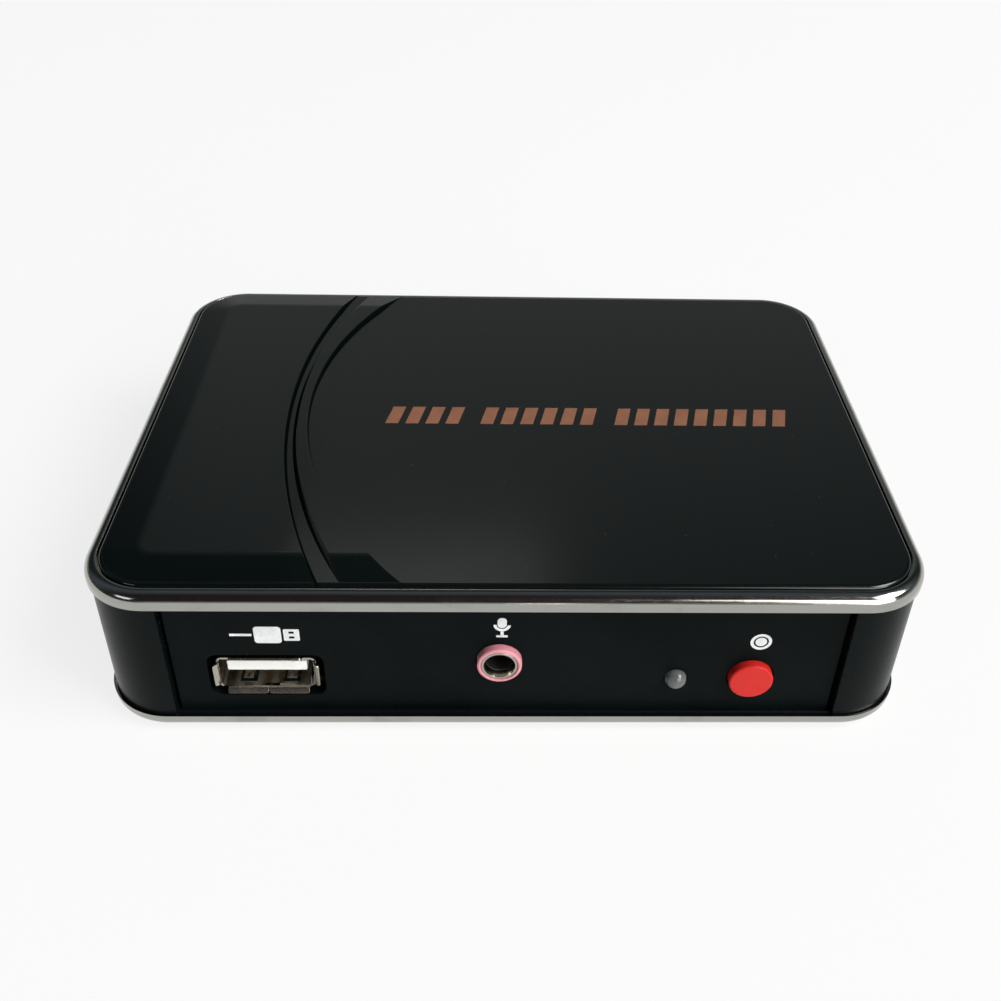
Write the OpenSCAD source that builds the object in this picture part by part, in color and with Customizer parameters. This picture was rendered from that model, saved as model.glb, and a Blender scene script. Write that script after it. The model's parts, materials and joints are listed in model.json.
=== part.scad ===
// Video capture box: a low black case with two bright trim rings, a slide-in front panel
// with a USB-A socket, a microphone jack, an indicator and a sprung record button,
// and a slide-in rear panel with the video and power sockets.
// Millimetres. Front is -Y, +Z is up, the origin is on the table under the middle of the box.

/* [Case] */
// Width over the trim rings
case_w = 113; // [111:0.5:125]
// Depth over the trim rings
case_d = 82.5; // [81:0.5:95]
// Corner radius of the trim rings, seen from above
corner_r = 9.5; // [8.5:0.25:11]
// Height of the walls between the trim rings
wall_h = 20; // [18.5:0.25:30]
// Thickness of the side walls
wall_t = 2.2; // [1.8:0.1:2.6]
// Setback of the side walls behind the trim rings
wall_setback = 0.45; // [0.2:0.05:0.8]
// Setback of the seat under the panels behind the trim rings
seat_inset = 0.85; // [0.7:0.05:1]
// Height and rounding of the step from the case's lip up to the seat
seat_step = 0.25; // [0.15:0.05:0.3]
// Straight stretch of wall between a corner and the panel joint
joint_flat = 1.5; // [1:0.1:2.5]
// Width of the joint between a wall and a panel
joint_gap = 0.5; // [0.3:0.1:0.8]
// Clearance between pieces that fit into each other
fit = 0.1; // [0.05:0.01:0.15]

/* [Trim rings] */
// Height of the straight band of each ring
ring_band = 0.7; // [0.4:0.1:1.2]
// Radius of the rounded top of the upper ring
top_fillet = 1.7; // [1.2:0.1:2]
// Radius of the rounded foot of the lower ring
bottom_fillet = 1.4; // [1.2:0.1:1.6]
// Reach of the hidden flange of each ring, from its outside
ring_reach = 3.2; // [2.8:0.1:3.6]
// Thickness of the hidden flange
flange_t = 1; // [0.8:0.1:1.2]
// Flat crest of the upper ring beside the cover
ring_crest = 0.2; // [0.05:0.05:0.3]
// Width of the lower ring's upper edge outside the lip of the case
ring_rim = 0.25; // [0.2:0.05:0.4]

/* [Cover] */
// Height of the flat field of the cover above the upper ring
cover_rise = 0.3; // [0:0.05:0.5]
// Thickness of the cover plate
cover_t = 2.4; // [2:0.1:3]
// Radius of the rolled edge of the cover
cover_roll = 0.6; // [0.5:0.1:1.2]
// Height of the raised pad and ridge above the field
pad_h = 0.7; // [0.4:0.1:1]
// Run of the sloping border of the pad
pad_run = 4.75; // [3:0.25:5.5]
// Run of the groove's outer wall
groove_run = 0.2; // [0.05:0.05:0.6]
// Run of the ridge's outer wall
ridge_run = 0.6; // [0.05:0.05:0.8]
// Run of the ridge's inner wall
field_run = 0.1; // [0.05:0.05:0.6]
// Distance of the groove from the left side of the box
groove_inset = 22.55; // [20:0.05:26]
// Width of the groove at its narrowest place
groove_w = 0.85; // [0.7:0.05:2]
// Width of the ridge at its narrowest place
ridge_w = 2.1; // [1.8:0.1:3]
// Radius of the outer wall of the groove
groove_r = 102; // [95:1:120]
// Radius of the outer wall of the ridge
ridge_r = 84; // [80:1:94]
// Radius of the inner wall of the ridge
field_r = 60; // [55:1:75]
// Shift of the arcs towards the rear
arc_shift = 3; // [0:0.5:6]
// Width of the locating skirt under the cover
skirt_t = 1.4; // [1:0.1:2]
// Depth of the locating skirt
skirt_h = 1.6; // [1:0.1:2]
// Gap between the panels and the skirt
skirt_gap = 1; // [0.5:0.1:1.5]

/* [Panels] */
// Setback of the panels behind the side walls
panel_setback = 0.95; // [0.5:0.05:1.2]
// Thickness of the panels
panel_t = 2.2; // [2:0.1:2.6]
// Thickness of the guide ribs behind the panels
guide_t = 1.5; // [1:0.1:2]
// Reach of a guide rib behind the panel
guide_lap = 0.6; // [0.3:0.1:1]
// Height of the walls above the guide ribs
guide_drop = 3.5; // [3:0.25:6]

/* [Feet and screws] */
// Lift of the box by its feet
foot_lift = 1; // [0.6:0.1:2]
// Radius of a foot
foot_r = 4.5; // [3.5:0.1:5]
// Depth of a foot in its recess
foot_sink = 0.8; // [0.5:0.1:1]
// Distance of a foot from the side of the box
foot_side = 14.5; // [14:0.25:18]
// Distance of a foot from the front or rear of the box
foot_end = 17.25; // [16:0.25:20]
// Distance of a case screw from the side of the box
post_side = 7.2; // [7:0.1:7.6]
// Distance of a case screw from the front or rear of the box
post_end = 10.2; // [9.5:0.1:11]
// Radius of the screw posts
post_r = 3.5; // [3.3:0.1:3.7]
// Height of the screw posts above the floor
post_h = 7; // [5:0.25:10]
// Radius of the screw bosses under the cover
boss_r = 3.2; // [2.8:0.1:3.6]
// Shank radius of the case screws
case_screw_r = 1.5; // [1.2:0.05:1.6]
// Head radius of the case screws
case_head_r = 2.7; // [2.3:0.1:2.9]
// Head height of the case screws
case_head_h = 1.9; // [1.4:0.1:2]
// Depth of the screw heads below the underside
head_sink = 0.3; // [0.1:0.1:0.6]
// Grip of the case screws in the bosses
screw_grip = 6; // [4:0.5:9]
// Shank radius of the board screws
board_screw_r = 1.2; // [1:0.05:1.4]
// Head radius of the board screws
board_head_r = 2.2; // [1.8:0.1:2.4]
// Head height of the board screws
board_head_h = 1.4; // [1:0.1:1.8]
// Grip of the board screws in the standoffs
board_grip = 2.6; // [2:0.1:3]
// Number of cooling slots in the floor
vent_count = 7; // [3:1:9]
// Width of a cooling slot
vent_w = 2; // [1.5:0.1:2.5]
// Length of a cooling slot
vent_len = 24; // [16:1:28]
// Pitch of the cooling slots
vent_pitch = 5; // [4:0.25:6]

/* [Main board] */
// Thickness of the board
board_t = 1.6; // [1:0.1:2]
// Height of the standoffs under the board
standoff_h = 2.3; // [1.8:0.1:3]
// Radius of the standoffs
standoff_r = 3; // [2.6:0.1:3.2]
// Gap between the board and what stands round it
board_gap = 0.4; // [0.3:0.05:0.8]
// Distance of the board screws from the side of the board
board_hole_side = 3.5; // [3:0.1:4]
// Place of the front board screws behind the middle
board_hole_front = -15; // [-17:0.5:-12]
// Place of the rear board screws behind the middle
board_hole_rear = 30; // [28.5:0.25:31]

/* [USB socket] */
// Distance of the socket from the left side of the box
usb_side = 23.7; // [23:0.1:36.5]
// Width of the shell
usb_w = 13.4; // [12.9:0.1:13.6]
// Height of the shell
usb_h = 5.7; // [5.5:0.1:6]
// Length of the shell
usb_len = 14; // [12:0.5:18]
// Sheet thickness of the metal shells
sheet_t = 0.3; // [0.25:0.05:0.4]
// Length of the flared lips
usb_lip = 1; // [0.8:0.05:1.2]
// Reach of the lips past the panel
usb_proud = 0.15; // [0:0.05:0.3]
// Angle of the flared lips
usb_flare = 51; // [20:1:60]
// Width of the white tongue
usb_tongue_w = 10.8; // [10.6:0.1:11.3]
// Thickness of the white tongue
usb_tongue_t = 1.74; // [1.6:0.02:1.9]
// Height of the underside of the tongue above the middle of the shell
usb_tongue_up = 0.15; // [0:0.05:0.3]
// Distance of the tongue's tip behind the panel face
usb_tongue_back = 0.8; // [0.6:0.1:1.5]
// Gap above and below the lips in the panel's cut-out
usb_cut_gap = 0.15; // [0.15:0.05:0.6]
// Gap beside the lips in the panel's cut-out
usb_cut_side = 0.35; // [0.3:0.05:0.9]
// Width of the upper lip
usb_top_lip = 9.9; // [8:0.1:11]
// Width of the lower lip
usb_low_lip = 11.1; // [8:0.1:11.4]
// Height of the side lips
usb_side_lip = 3.9; // [3:0.1:4.2]
// Width of the windows for the spring fingers
usb_window_w = 2.3; // [1.6:0.1:3]
// Length of the spring windows
usb_window_len = 5; // [3:0.25:6]

/* [Microphone jack] */
// Place of the jack along the front
jack_x = -1.2; // [-8:0.1:10]
// Height of the jack's axis above the board
jack_up = 5.65; // [5.4:0.05:8]
// Radius of the coloured collar
jack_r = 3.05; // [2.9:0.05:3.4]
// Reach of the collar past the panel
jack_proud = 1.05; // [0.8:0.05:2]
// Outer radius of the metal sleeve
jack_sleeve_r = 2.5; // [2.4:0.05:2.6]
// Radius of the bore that takes the plug
jack_bore_r = 1.8; // [1.76:0.01:1.9]
// Length of the metal sleeve
jack_sleeve_len = 5; // [4:0.25:7]
// Depth of the bore behind the collar's face
jack_depth = 15; // [14.5:0.25:18]
// Width of the housing
jack_w = 9; // [8:0.25:11]
// Height of the housing above the axis
jack_top = 5; // [4.5:0.1:6]
// Thickness of the housing behind the bore
jack_back = 1.2; // [0.8:0.1:2]

/* [Indicator] */
// Distance of the indicator from the record button
led_gap = 10.3; // [8:0.1:15]
// Height of the indicator's axis above the board
led_up = 2.4; // [2.2:0.05:3]
// Radius of the lens
led_r = 1.5; // [1.2:0.05:1.6]
// Radius of the lens flange
led_flange_r = 1.9; // [1.75:0.05:2.1]
// Length of the lens behind the panel face
led_len = 4.5; // [3.6:0.1:6]
// Thickness of the legs
led_leg = 0.5; // [0.4:0.05:0.6]
// Distance between the legs
led_pitch = 2.54; // [1.6:0.02:2.54]
// Length of the legs before they turn down
led_reach = 2.2; // [1.5:0.1:4]

/* [Record button] */
// Distance of the button from the right side of the box
button_side = 23.1; // [19.5:0.1:26.5]
// Height of the button's axis above the board
button_up = 2.65; // [2.6:0.05:4]
// Radius of the button
button_r = 3.05; // [2.5:0.05:3.15]
// Reach of the button past the panel
button_proud = 1.1; // [0.9:0.05:3]
// Travel of the button
button_travel = 0.4; // [0.2:0.05:0.6]
// Rounding of the button's front edge
button_round = 0.35; // [0.2:0.05:0.8]
// Gap between the button and the hole in the panel
button_gap = 0.15; // [0.1:0.01:0.25]
// Flange of the button behind the panel
button_flange = 0.5; // [0.4:0.05:0.8]
// Thickness of the button's flange
button_flange_t = 0.9; // [0.6:0.1:1.4]
// Length of the socket that holds the switch plunger
button_socket = 1.8; // [1.4:0.1:2.5]
// Radius of the switch plunger
plunger_r = 1.75; // [1.3:0.05:1.9]
// Width of the switch body
switch_w = 6.4; // [6:0.1:7]
// Depth of the switch body
switch_d = 3.6; // [3.4:0.1:4.5]
// Depth of the plunger in the switch body
plunger_sink = 1.2; // [0.8:0.1:1.3]

/* [Rear sockets] */
// Place of the HDMI input along the rear
hdmi_in_x = -8; // [-10:0.1:-6]
// Place of the HDMI output along the rear
hdmi_out_x = 12; // [10:0.1:14]
// Width of an HDMI shell
hdmi_w = 14.6; // [14.5:0.05:15]
// Height of an HDMI shell
hdmi_h = 5.2; // [5.1:0.05:5.6]
// Length of an HDMI shell
hdmi_len = 11.5; // [10:0.25:13]
// Slanted corner of an HDMI shell
hdmi_slant = 1.8; // [1.4:0.1:2.2]
// Width of an HDMI tongue
hdmi_tongue_w = 11; // [10.6:0.1:11.6]
// Thickness of an HDMI tongue
hdmi_tongue_t = 1; // [0.8:0.05:1.2]
// Distance of the mini-DIN socket from the left side of the box
din_side = 27.5; // [25.5:0.1:29.5]
// Height of the mini-DIN axis above the board
din_up = 6.5; // [6:0.1:8]
// Radius of the mini-DIN shell
din_r = 4.9; // [4.75:0.05:5.2]
// Radius of the mini-DIN insert
din_insert_r = 3.6; // [3.4:0.05:3.8]
// Width and height margin of the mini-DIN block round its shell
din_wall = 1.6; // [1.2:0.1:2]
// Length of the mini-DIN block behind the panel
din_len = 10.5; // [9:0.25:12]
// Radius of a contact hole in the insert
din_pin_r = 0.45; // [0.35:0.05:0.5]
// Distance of the DC inlet from the right side of the box
dc_side = 25.5; // [24.5:0.1:27.5]
// Height of the inlet's axis above the board
dc_up = 6.5; // [6:0.1:8]
// Radius of the inlet's bore
dc_bore_r = 3.2; // [3:0.05:3.3]
// Radius of the inlet's nose
dc_nose_r = 4.1; // [3.9:0.05:4.4]
// Radius of the inlet's centre pin
dc_pin_r = 1.05; // [0.8:0.05:1.2]
// Length of the inlet's housing behind the panel
dc_len = 11; // [9:0.25:13]
// Wall behind the inlet's bore
dc_back = 1.5; // [1:0.1:2.5]

/* [Parts on the board] */
// Side of the video processor
chip_side = 23; // [18:0.5:26]
// Height of the video processor
chip_h = 1.5; // [1:0.1:2.2]
// Thickness of the thermal pad
thermal_t = 0.8; // [0.4:0.1:1.2]
// Side of the heat sink
sink_side = 28; // [24:0.5:30]
// Thickness of the heat sink's base
sink_base = 2; // [1.5:0.1:3]
// Height of the heat sink's fins
fin_h = 7; // [4:0.5:9]
// Thickness of a fin
fin_t = 1.2; // [0.8:0.1:1.5]
// Number of fins
fin_count = 7; // [4:1:9]
// Place of the processor behind the middle
chip_y = 0; // [-2:0.25:2]
// Gap between neighbouring parts on the board
part_gap = 3; // [2:0.25:4]
// Width of a memory chip
memory_w = 10; // [8:0.25:12]
// Depth of a memory chip
memory_d = 12.5; // [10:0.25:14]
// Height of a memory chip
memory_h = 1.1; // [0.8:0.1:1.5]
// Radius of a filter capacitor
cap_r = 3.15; // [2.5:0.05:3.5]
// Height of a filter capacitor
cap_h = 7.7; // [5:0.1:10]
// Side of a power inductor
coil_side = 7; // [5:0.1:7.5]
// Height of a power inductor
coil_h = 4; // [2.5:0.1:5]
// Side of the interface chip
interface_side = 10; // [7:0.5:10]
// Height of the interface chip
interface_h = 1.2; // [0.8:0.1:1.6]
// Reach of the interface chip's legs
interface_leg = 1; // [0.6:0.1:1.4]
// Side of the flash chip
flash_side = 5.2; // [4:0.1:6]
// Height of the flash chip
flash_h = 1.8; // [1:0.1:2.2]
// Reach of the flash chip's legs
flash_leg = 1.2; // [0.6:0.1:1.4]
// Side of the audio codec
codec_side = 5; // [4:0.1:6]
// Height of the audio codec
codec_h = 0.9; // [0.7:0.1:1.2]
// Width of the crystal's can
crystal_w = 11; // [8:0.1:12]
// Depth of the crystal's can
crystal_d = 4.6; // [3.8:0.1:5]
// Height of the crystal's can
crystal_h = 3.5; // [2.5:0.1:4]
// Width of the voltage regulator
regulator_w = 3.5; // [3:0.1:4]
// Depth of the voltage regulator
regulator_d = 6.5; // [5:0.1:7]
// Height of the voltage regulator
regulator_h = 1.6; // [1.2:0.1:2]
// Reach of the voltage regulator's legs
regulator_leg = 1.4; // [1:0.1:1.6]

/* [Hidden] */
$fn = 96;
arc_fn = 360;
over = 1;

black = "#191b1c";
gloss_black = "#101314";
chrome = "#b9b7b3";
steel = "#a9a8a4";
gold = "#c8a040";
board_green = "#1f5a3a";
chip_black = "#222222";

// Heights, from the table up
z_base = foot_lift;
z_wall0 = z_base + bottom_fillet + ring_band;
z_wall1 = z_wall0 + wall_h;
z_rim = z_base + bottom_fillet + fit;
z_seat_foot = z_wall0 - seat_step;
z_flange = z_wall1 + flange_t;
z_ring = z_wall1 + ring_band + top_fillet;
z_field = z_ring + cover_rise;
z_under = z_field - cover_t;
z_board0 = z_wall0 + standoff_h;
z_board = z_board0 + board_t;
z_post = z_wall0 + post_h;
z_seat = z_base + head_sink + case_head_h;
z_chip = z_board + chip_h;
z_sink = z_chip + thermal_t;

// Insets from the outline of the trim rings
cover_inset = top_fillet + ring_crest + fit;
field_inset = cover_inset + cover_roll;
panel_inset = wall_setback + panel_setback;
panel_back = panel_inset + panel_t;
wall_inside = wall_setback + wall_t;
skirt_inset = panel_back + skirt_gap;

// Places along the width and the depth
joint_x = case_w/2 - corner_r - joint_flat;
panel_y = case_d/2 - panel_inset;
panel_w = 2*joint_x - joint_gap;
panel_h = wall_h - fit;
panel_tongue_t = panel_back - wall_inside - fit;
panel_tongue_w = 2*(joint_x + joint_flat - fit);
board_w = 2*(joint_x - guide_lap - board_gap);
board_d = case_d - 2*(panel_back + board_gap);
post_x = case_w/2 - post_side;
post_y = case_d/2 - post_end;
foot_x = case_w/2 - foot_side;
foot_y = case_d/2 - foot_end;
board_hole_x = board_w/2 - board_hole_side;

// The three arcs of the cover, from left to right
groove_x = groove_r + groove_inset - case_w/2;
ridge_x = ridge_r + groove_inset + groove_w - case_w/2;
field_x = field_r + groove_inset + groove_w + ridge_w - case_w/2;

// Rows of parts round the heat sink
coil_x = sink_side/2 + part_gap + coil_side/2;
cap_x = coil_x + coil_side/2 + part_gap + cap_r;
rear_row_y = (chip_y + sink_side/2 + panel_y - hdmi_len)/2;
front_row_y = chip_y - sink_side/2;

// Places of the fittings along the front and the rear
usb_x = usb_side - case_w/2;
button_x = case_w/2 - button_side;
led_x = button_x - led_gap;
din_x = din_side - case_w/2;
dc_x = case_w/2 - dc_side;

// Axis heights of the fittings
usb_z = z_board + usb_h/2;
jack_z = z_board + jack_up;
led_z = z_board + led_up;
button_z = z_board + button_up;
hdmi_z = z_board + hdmi_h/2;
din_z = z_board + din_up;
dc_z = z_board + dc_up;

// Depths behind the panel face, outwards positive
behind = -panel_t - fit;
usb_reach = usb_lip*cos(usb_flare);
usb_spread = usb_lip*sin(usb_flare);
usb_mouth = usb_proud - usb_reach;
usb_cut_w = usb_w + 2*(usb_spread + usb_cut_side);
usb_cut_h = usb_h + 2*(usb_spread + usb_cut_gap);
usb_block = 4;
usb_cut_r = 1.4;
usb_round = 0.8;
usb_window_back = 0.85;
usb_window_x = usb_w/4.5;
jack_sleeve_end = jack_proud - jack_sleeve_len;
jack_end = jack_proud - jack_depth;
jack_cavity_r = jack_bore_r + 4*fit;
jack_leaf_w = 1.2;
jack_leaf_deep = 1.4;
jack_leaf_up = jack_bore_r + jack_leaf_deep;
jack_leaf_end = jack_end + 1;
button_hole_r = button_r + button_gap;
flange_front = behind;
flat_front = flange_front + button_travel + fit;
socket_front = flange_front - button_flange_t;
socket_back = socket_front - button_socket;
frame_front = socket_back - button_travel - 3*fit;
switch_front = frame_front - sheet_t;
switch_back = switch_front - switch_d;
plunger_back = switch_front - plunger_sink;
dome_top = plunger_back - button_travel - fit;
hdmi_block = 3;
hdmi_tip = -1;
hdmi_pitch = 1;
hdmi_upper = 10;
hdmi_contact_t = 0.1;
hdmi_contact_w = 0.35;
hdmi_contact_gap = 1;
usb_contact_t = 0.15;
usb_contact_w = 1;
usb_contact_gap = 1;
usb_inner = 1;
usb_outer = 3.5;
din_end = behind - din_len + din_wall;
dc_end = behind - dc_len + dc_back;
socket_wall = 0.9;
dc_pin_back = 1.5;
dome_h = 0.7;
dome_r = 2.2;
dome_t = 0.15;
dome_base = dome_top - dome_h;

// Rounded rectangle about the middle
module round_rect(w, h, r) {
  square([w - 2*r, h], center = true);
  square([w, h - 2*r], center = true);
  for (sx = [-1, 1], sy = [-1, 1])
    translate([sx*(w/2 - r), sy*(h/2 - r)]) circle(r);
}

// Slot with round ends along y
module slot(w, len) {
  square([w, len - w], center = true);
  for (end = [-1, 1]) translate([0, end*(len - w)/2]) circle(w/2);
}

// Slab of the case's outline, drawn in by inset, between two heights
module slab(inset, z0, z1) {
  translate([0, 0, z0])
    linear_extrude(z1 - z0)
      round_rect(case_w - 2*inset, case_d - 2*inset, corner_r - inset);
}

// Carries a profile round the outline: its x is the distance from a corner's centre, its y the height
module round_the_case() {
  run_x = case_w - 2*corner_r;
  run_y = case_d - 2*corner_r;
  for (turn = [0 : 3]) {
    along = turn % 2 == 0 ? run_y : run_x;
    out = turn % 2 == 0 ? run_x/2 : run_y/2;
    rotate([0, 0, 90*turn]) {
      translate([out, 0, 0]) rotate([90, 0, 0]) linear_extrude(along, center = true) children();
      translate([out, along/2, 0]) rotate_extrude(angle = 90) children();
    }
  }
}

// Stands a fitting in the front panel: z points out of the box, y up
module at_front(x, z) {
  translate([x, -panel_y, z]) rotate([90, 0, 0]) children();
}

// Stands a fitting in the rear panel, in the same way
module at_rear(x, z) {
  translate([x, panel_y, z]) rotate([90, 0, 180]) children();
}

// Box between two depths, about the axis of a fitting
module block(w, low, high, z0, z1) {
  translate([-w/2, low, z0]) cube([w, high - low, z1 - z0]);
}

// Cylinder between two depths
module rod(r, z0, z1) {
  translate([0, 0, z0]) cylinder(r = r, h = z1 - z0);
}

module four_corners(x, y) {
  for (sx = [-1, 1], sy = [-1, 1]) translate([sx*x, sy*y, 0]) children();
}

module board_hole_places() {
  for (sx = [-1, 1], y = [board_hole_front, board_hole_rear])
    translate([sx*board_hole_x, y, 0]) children();
}

// Quarter of a disc in the quadrant that the two signs name
module quarter(r, sx, sy) {
  intersection() {
    circle(r);
    translate([sx > 0 ? 0 : -r, sy > 0 ? 0 : -r]) square(r);
  }
}

// Upper trim ring: band, rounded crest and a flange that the cover clamps on the walls
module top_trim_ring() {
  color(chrome) round_the_case() {
    crest = corner_r - top_fillet;
    translate([crest, z_wall1 + ring_band]) quarter(top_fillet, 1, 1);
    translate([crest - ring_crest, z_wall1]) square([ring_crest, z_ring - z_wall1]);
    translate([crest, z_wall1]) square([top_fillet, ring_band]);
    translate([corner_r - ring_reach, z_wall1])
      square([ring_reach - top_fillet - ring_crest, flange_t]);
  }
}

// Lower trim ring: rim, rounded foot and a flange under the edge of the floor
module bottom_trim_ring() {
  color(chrome) round_the_case() {
    foot = corner_r - bottom_fillet;
    translate([foot, z_base + bottom_fillet]) quarter(bottom_fillet, 1, -1);
    translate([foot, z_base + bottom_fillet]) square([bottom_fillet, z_rim - z_base - bottom_fillet]);
    translate([corner_r - ring_rim, z_base + bottom_fillet]) square([ring_rim, ring_band]);
    translate([corner_r - ring_reach, z_base]) square([ring_reach - bottom_fillet, flange_t]);
  }
}

// Pad with sloping borders over the whole cover, before the arcs cut it
module pad_blank() {
  round_the_case() translate([corner_r - field_inset, z_field])
    polygon([[0, 0], [-pad_run, pad_h], [-pad_run, 0]]);
  slab(field_inset + pad_run, z_field, z_field + pad_h);
}

// Cone that one arc of the cover belongs to, at the heights of the pad
module arc_cone(x, r, r_top) {
  translate([x, arc_shift, z_field]) cylinder(r1 = r, r2 = r_top, h = pad_h, $fn = arc_fn);
}

module top_cover() {
  color(gloss_black) {
    difference() {
      union() {
        round_the_case() translate([corner_r - field_inset, 0]) {
          translate([0, z_field - cover_roll]) quarter(cover_roll, 1, 1);
          translate([0, z_flange]) square([cover_roll, z_field - cover_roll - z_flange]);
        }
        slab(field_inset, z_flange, z_field);
        slab(ring_reach + fit, z_under, z_flange);
        difference() {
          slab(skirt_inset, z_under - skirt_h, z_under);
          slab(skirt_inset + skirt_t, z_under - skirt_h - over, z_under);
        }
        four_corners(post_x, post_y) rod(boss_r, z_post, z_under);
      }
      four_corners(post_x, post_y) rod(case_screw_r + fit/2, z_post - over, z_post + screw_grip + over);
    }
    difference() {
      pad_blank();
      arc_cone(groove_x, groove_r, groove_r + groove_run);
    }
    difference() {
      intersection() {
        pad_blank();
        arc_cone(ridge_x, ridge_r, ridge_r - ridge_run);
      }
      arc_cone(field_x, field_r, field_r + field_run);
    }
  }
}

// Side walls with the corners, cut away between the panel joints
module side_walls() {
  difference() {
    slab(wall_setback, z_seat_foot, z_wall1);
    slab(wall_inside, z_wall0 - over, z_wall1 + over);
    gap_w = 2*joint_x + joint_gap;
    translate([-gap_w/2, -case_d/2, z_wall0 - over]) cube([gap_w, case_d, wall_h + 2*over]);
  }
}

// Ribs that hold the tongues of the panels against the walls
module guide_ribs() {
  rib_x = joint_x - guide_lap;
  intersection() {
    for (sx = [-1, 1], sy = [-1, 1])
      in_quadrant(sx, sy)
        translate([rib_x, case_d/2 - panel_back - fit - guide_t, z_wall0])
          cube([case_w/2 - rib_x, guide_t, wall_h - guide_drop]);
    slab(wall_setback + wall_t/2, z_wall0, z_wall1);
  }
}

// Mirrors a shape into the quadrant that the two signs name
module in_quadrant(sx, sy) {
  mirror([sx < 0 ? 1 : 0, 0, 0]) mirror([0, sy < 0 ? 1 : 0, 0]) children();
}

// Lip of the floor over the lower ring, with a rounded step up to the seat of the panels
module floor_lip() {
  slab(ring_rim + fit, z_rim + fit, z_seat_foot);
  slab(seat_inset + seat_step, z_seat_foot, z_wall0);
  round_the_case() translate([corner_r - seat_inset - seat_step, z_seat_foot])
    quarter(seat_step, 1, 1);
}

module bottom_case() {
  color(black) difference() {
    union() {
      slab(ring_reach + fit, z_base, z_base + flange_t);
      slab(bottom_fillet + fit, z_base + flange_t, z_wall0);
      floor_lip();
      side_walls();
      guide_ribs();
      four_corners(post_x, post_y) rod(post_r, z_wall0, z_post);
      board_hole_places() rod(standoff_r, z_wall0, z_board0);
    }
    four_corners(post_x, post_y) {
      rod(case_head_r + 2*fit, z_base - over, z_seat);
      rod(case_screw_r + 2*fit, z_seat - over, z_post + over);
    }
    four_corners(foot_x, foot_y) rod(foot_r + fit, z_base - over, z_base + foot_sink);
    board_hole_places() rod(board_screw_r + fit/2, z_board0 - board_grip - 2*fit, z_board0 + over);
    for (i = [0 : vent_count - 1])
      translate([(i - (vent_count - 1)/2)*vent_pitch, 0, z_base - over])
        linear_extrude(z_wall0 - z_base + 2*over) slot(vent_w, vent_len);
  }
}

// Panel with side tongues that slide in behind the walls; y starts at the panel's foot
module panel_blank() {
  block(panel_w, 0, panel_h, -panel_t, 0);
  block(panel_tongue_w, 0, panel_h, -panel_t, -panel_t + panel_tongue_t);
}

// Hole through a panel at a height above the table
module panel_hole(x, z) {
  translate([x, z - z_wall0, -panel_t - over]) linear_extrude(panel_t + 2*over) children();
}

module front_panel() {
  color(black) at_front(0, z_wall0) difference() {
    panel_blank();
    panel_hole(usb_x, usb_z) round_rect(usb_cut_w, usb_cut_h, usb_cut_r);
    panel_hole(jack_x, jack_z) circle(jack_r + fit);
    panel_hole(led_x, led_z) circle(led_r + fit);
    panel_hole(button_x, button_z) circle(button_hole_r);
  }
}

// Outline of an HDMI shell, drawn in by inset
module hdmi_outline(inset) {
  w = hdmi_w/2 - inset;
  h = hdmi_h/2 - inset;
  s = hdmi_slant;
  polygon([[-w, h], [w, h], [w, s - h], [w - s, -h], [s - w, -h], [-w, s - h]]);
}

module rear_panel() {
  color(black) at_rear(0, z_wall0) difference() {
    panel_blank();
    for (x = [hdmi_in_x, hdmi_out_x]) panel_hole(-x, hdmi_z) hdmi_outline(-2*fit);
    panel_hole(-din_x, din_z) circle(din_r + fit);
    panel_hole(-dc_x, dc_z) circle(dc_nose_r + fit);
  }
}

module rubber_feet() {
  color("#2a2a2a") four_corners(foot_x, foot_y) rod(foot_r, 0, foot_lift + foot_sink);
}

// Round-headed screw: head below z0, shank above it, with a cross recess
module screw(head_r, head_h, shank_r, shank_len) {
  slot_w = head_r/4;
  difference() {
    union() {
      rod(head_r, -head_h, 0);
      rod(shank_r, -head_h/2, shank_len);
    }
    for (turn = [0, 90])
      rotate([0, 0, turn])
        translate([-head_r*0.6, -slot_w/2, -head_h - over])
          cube([head_r*1.2, slot_w, head_h/2 + over]);
  }
}

module case_screws() {
  color(steel) four_corners(post_x, post_y) translate([0, 0, z_seat])
    screw(case_head_r, case_head_h, case_screw_r, z_post - z_seat + screw_grip);
}

module board_screws() {
  color(steel) board_hole_places() translate([0, 0, z_board]) rotate([180, 0, 0])
    screw(board_head_r, board_head_h, board_screw_r, board_t + board_grip);
}

// Holes that the indicator's legs pass through
led_leg_y = -panel_y + led_len + led_reach - led_leg/2;
module led_leg_places() {
  for (side = [-1, 1]) translate([led_x + side*led_pitch/2, led_leg_y, 0]) children();
}

module main_board() {
  color(board_green) difference() {
    translate([-board_w/2, -board_d/2, z_board0]) cube([board_w, board_d, board_t]);
    board_hole_places() rod(board_screw_r + 2*fit, z_board0 - over, z_board + over);
    led_leg_places() rod(led_leg, z_board0 - over, z_board + over);
  }
}

// Block that lies on the board, about a place
module on_board(x, y, w, d, h) {
  translate([x - w/2, y - d/2, z_board]) cube([w, d, h]);
}

// Chip with a row of legs on two sides
module leg_chip(x, y, w, d, h, legs, leg_out) {
  leg_w = d/(2*legs);
  on_board(x, y, w, d, h);
  for (side = [-1, 1], i = [0 : legs - 1])
    on_board(x + side*(w + leg_out)/2, y + (i - (legs - 1)/2)*d/legs, leg_out, leg_w, h/3);
}

module video_processor() {
  color(chip_black) on_board(0, chip_y, chip_side, chip_side, chip_h);
}

module thermal_pad() {
  color("#8fa0a8") translate([-chip_side/2, chip_y - chip_side/2, z_chip])
    cube([chip_side, chip_side, thermal_t]);
}

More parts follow.
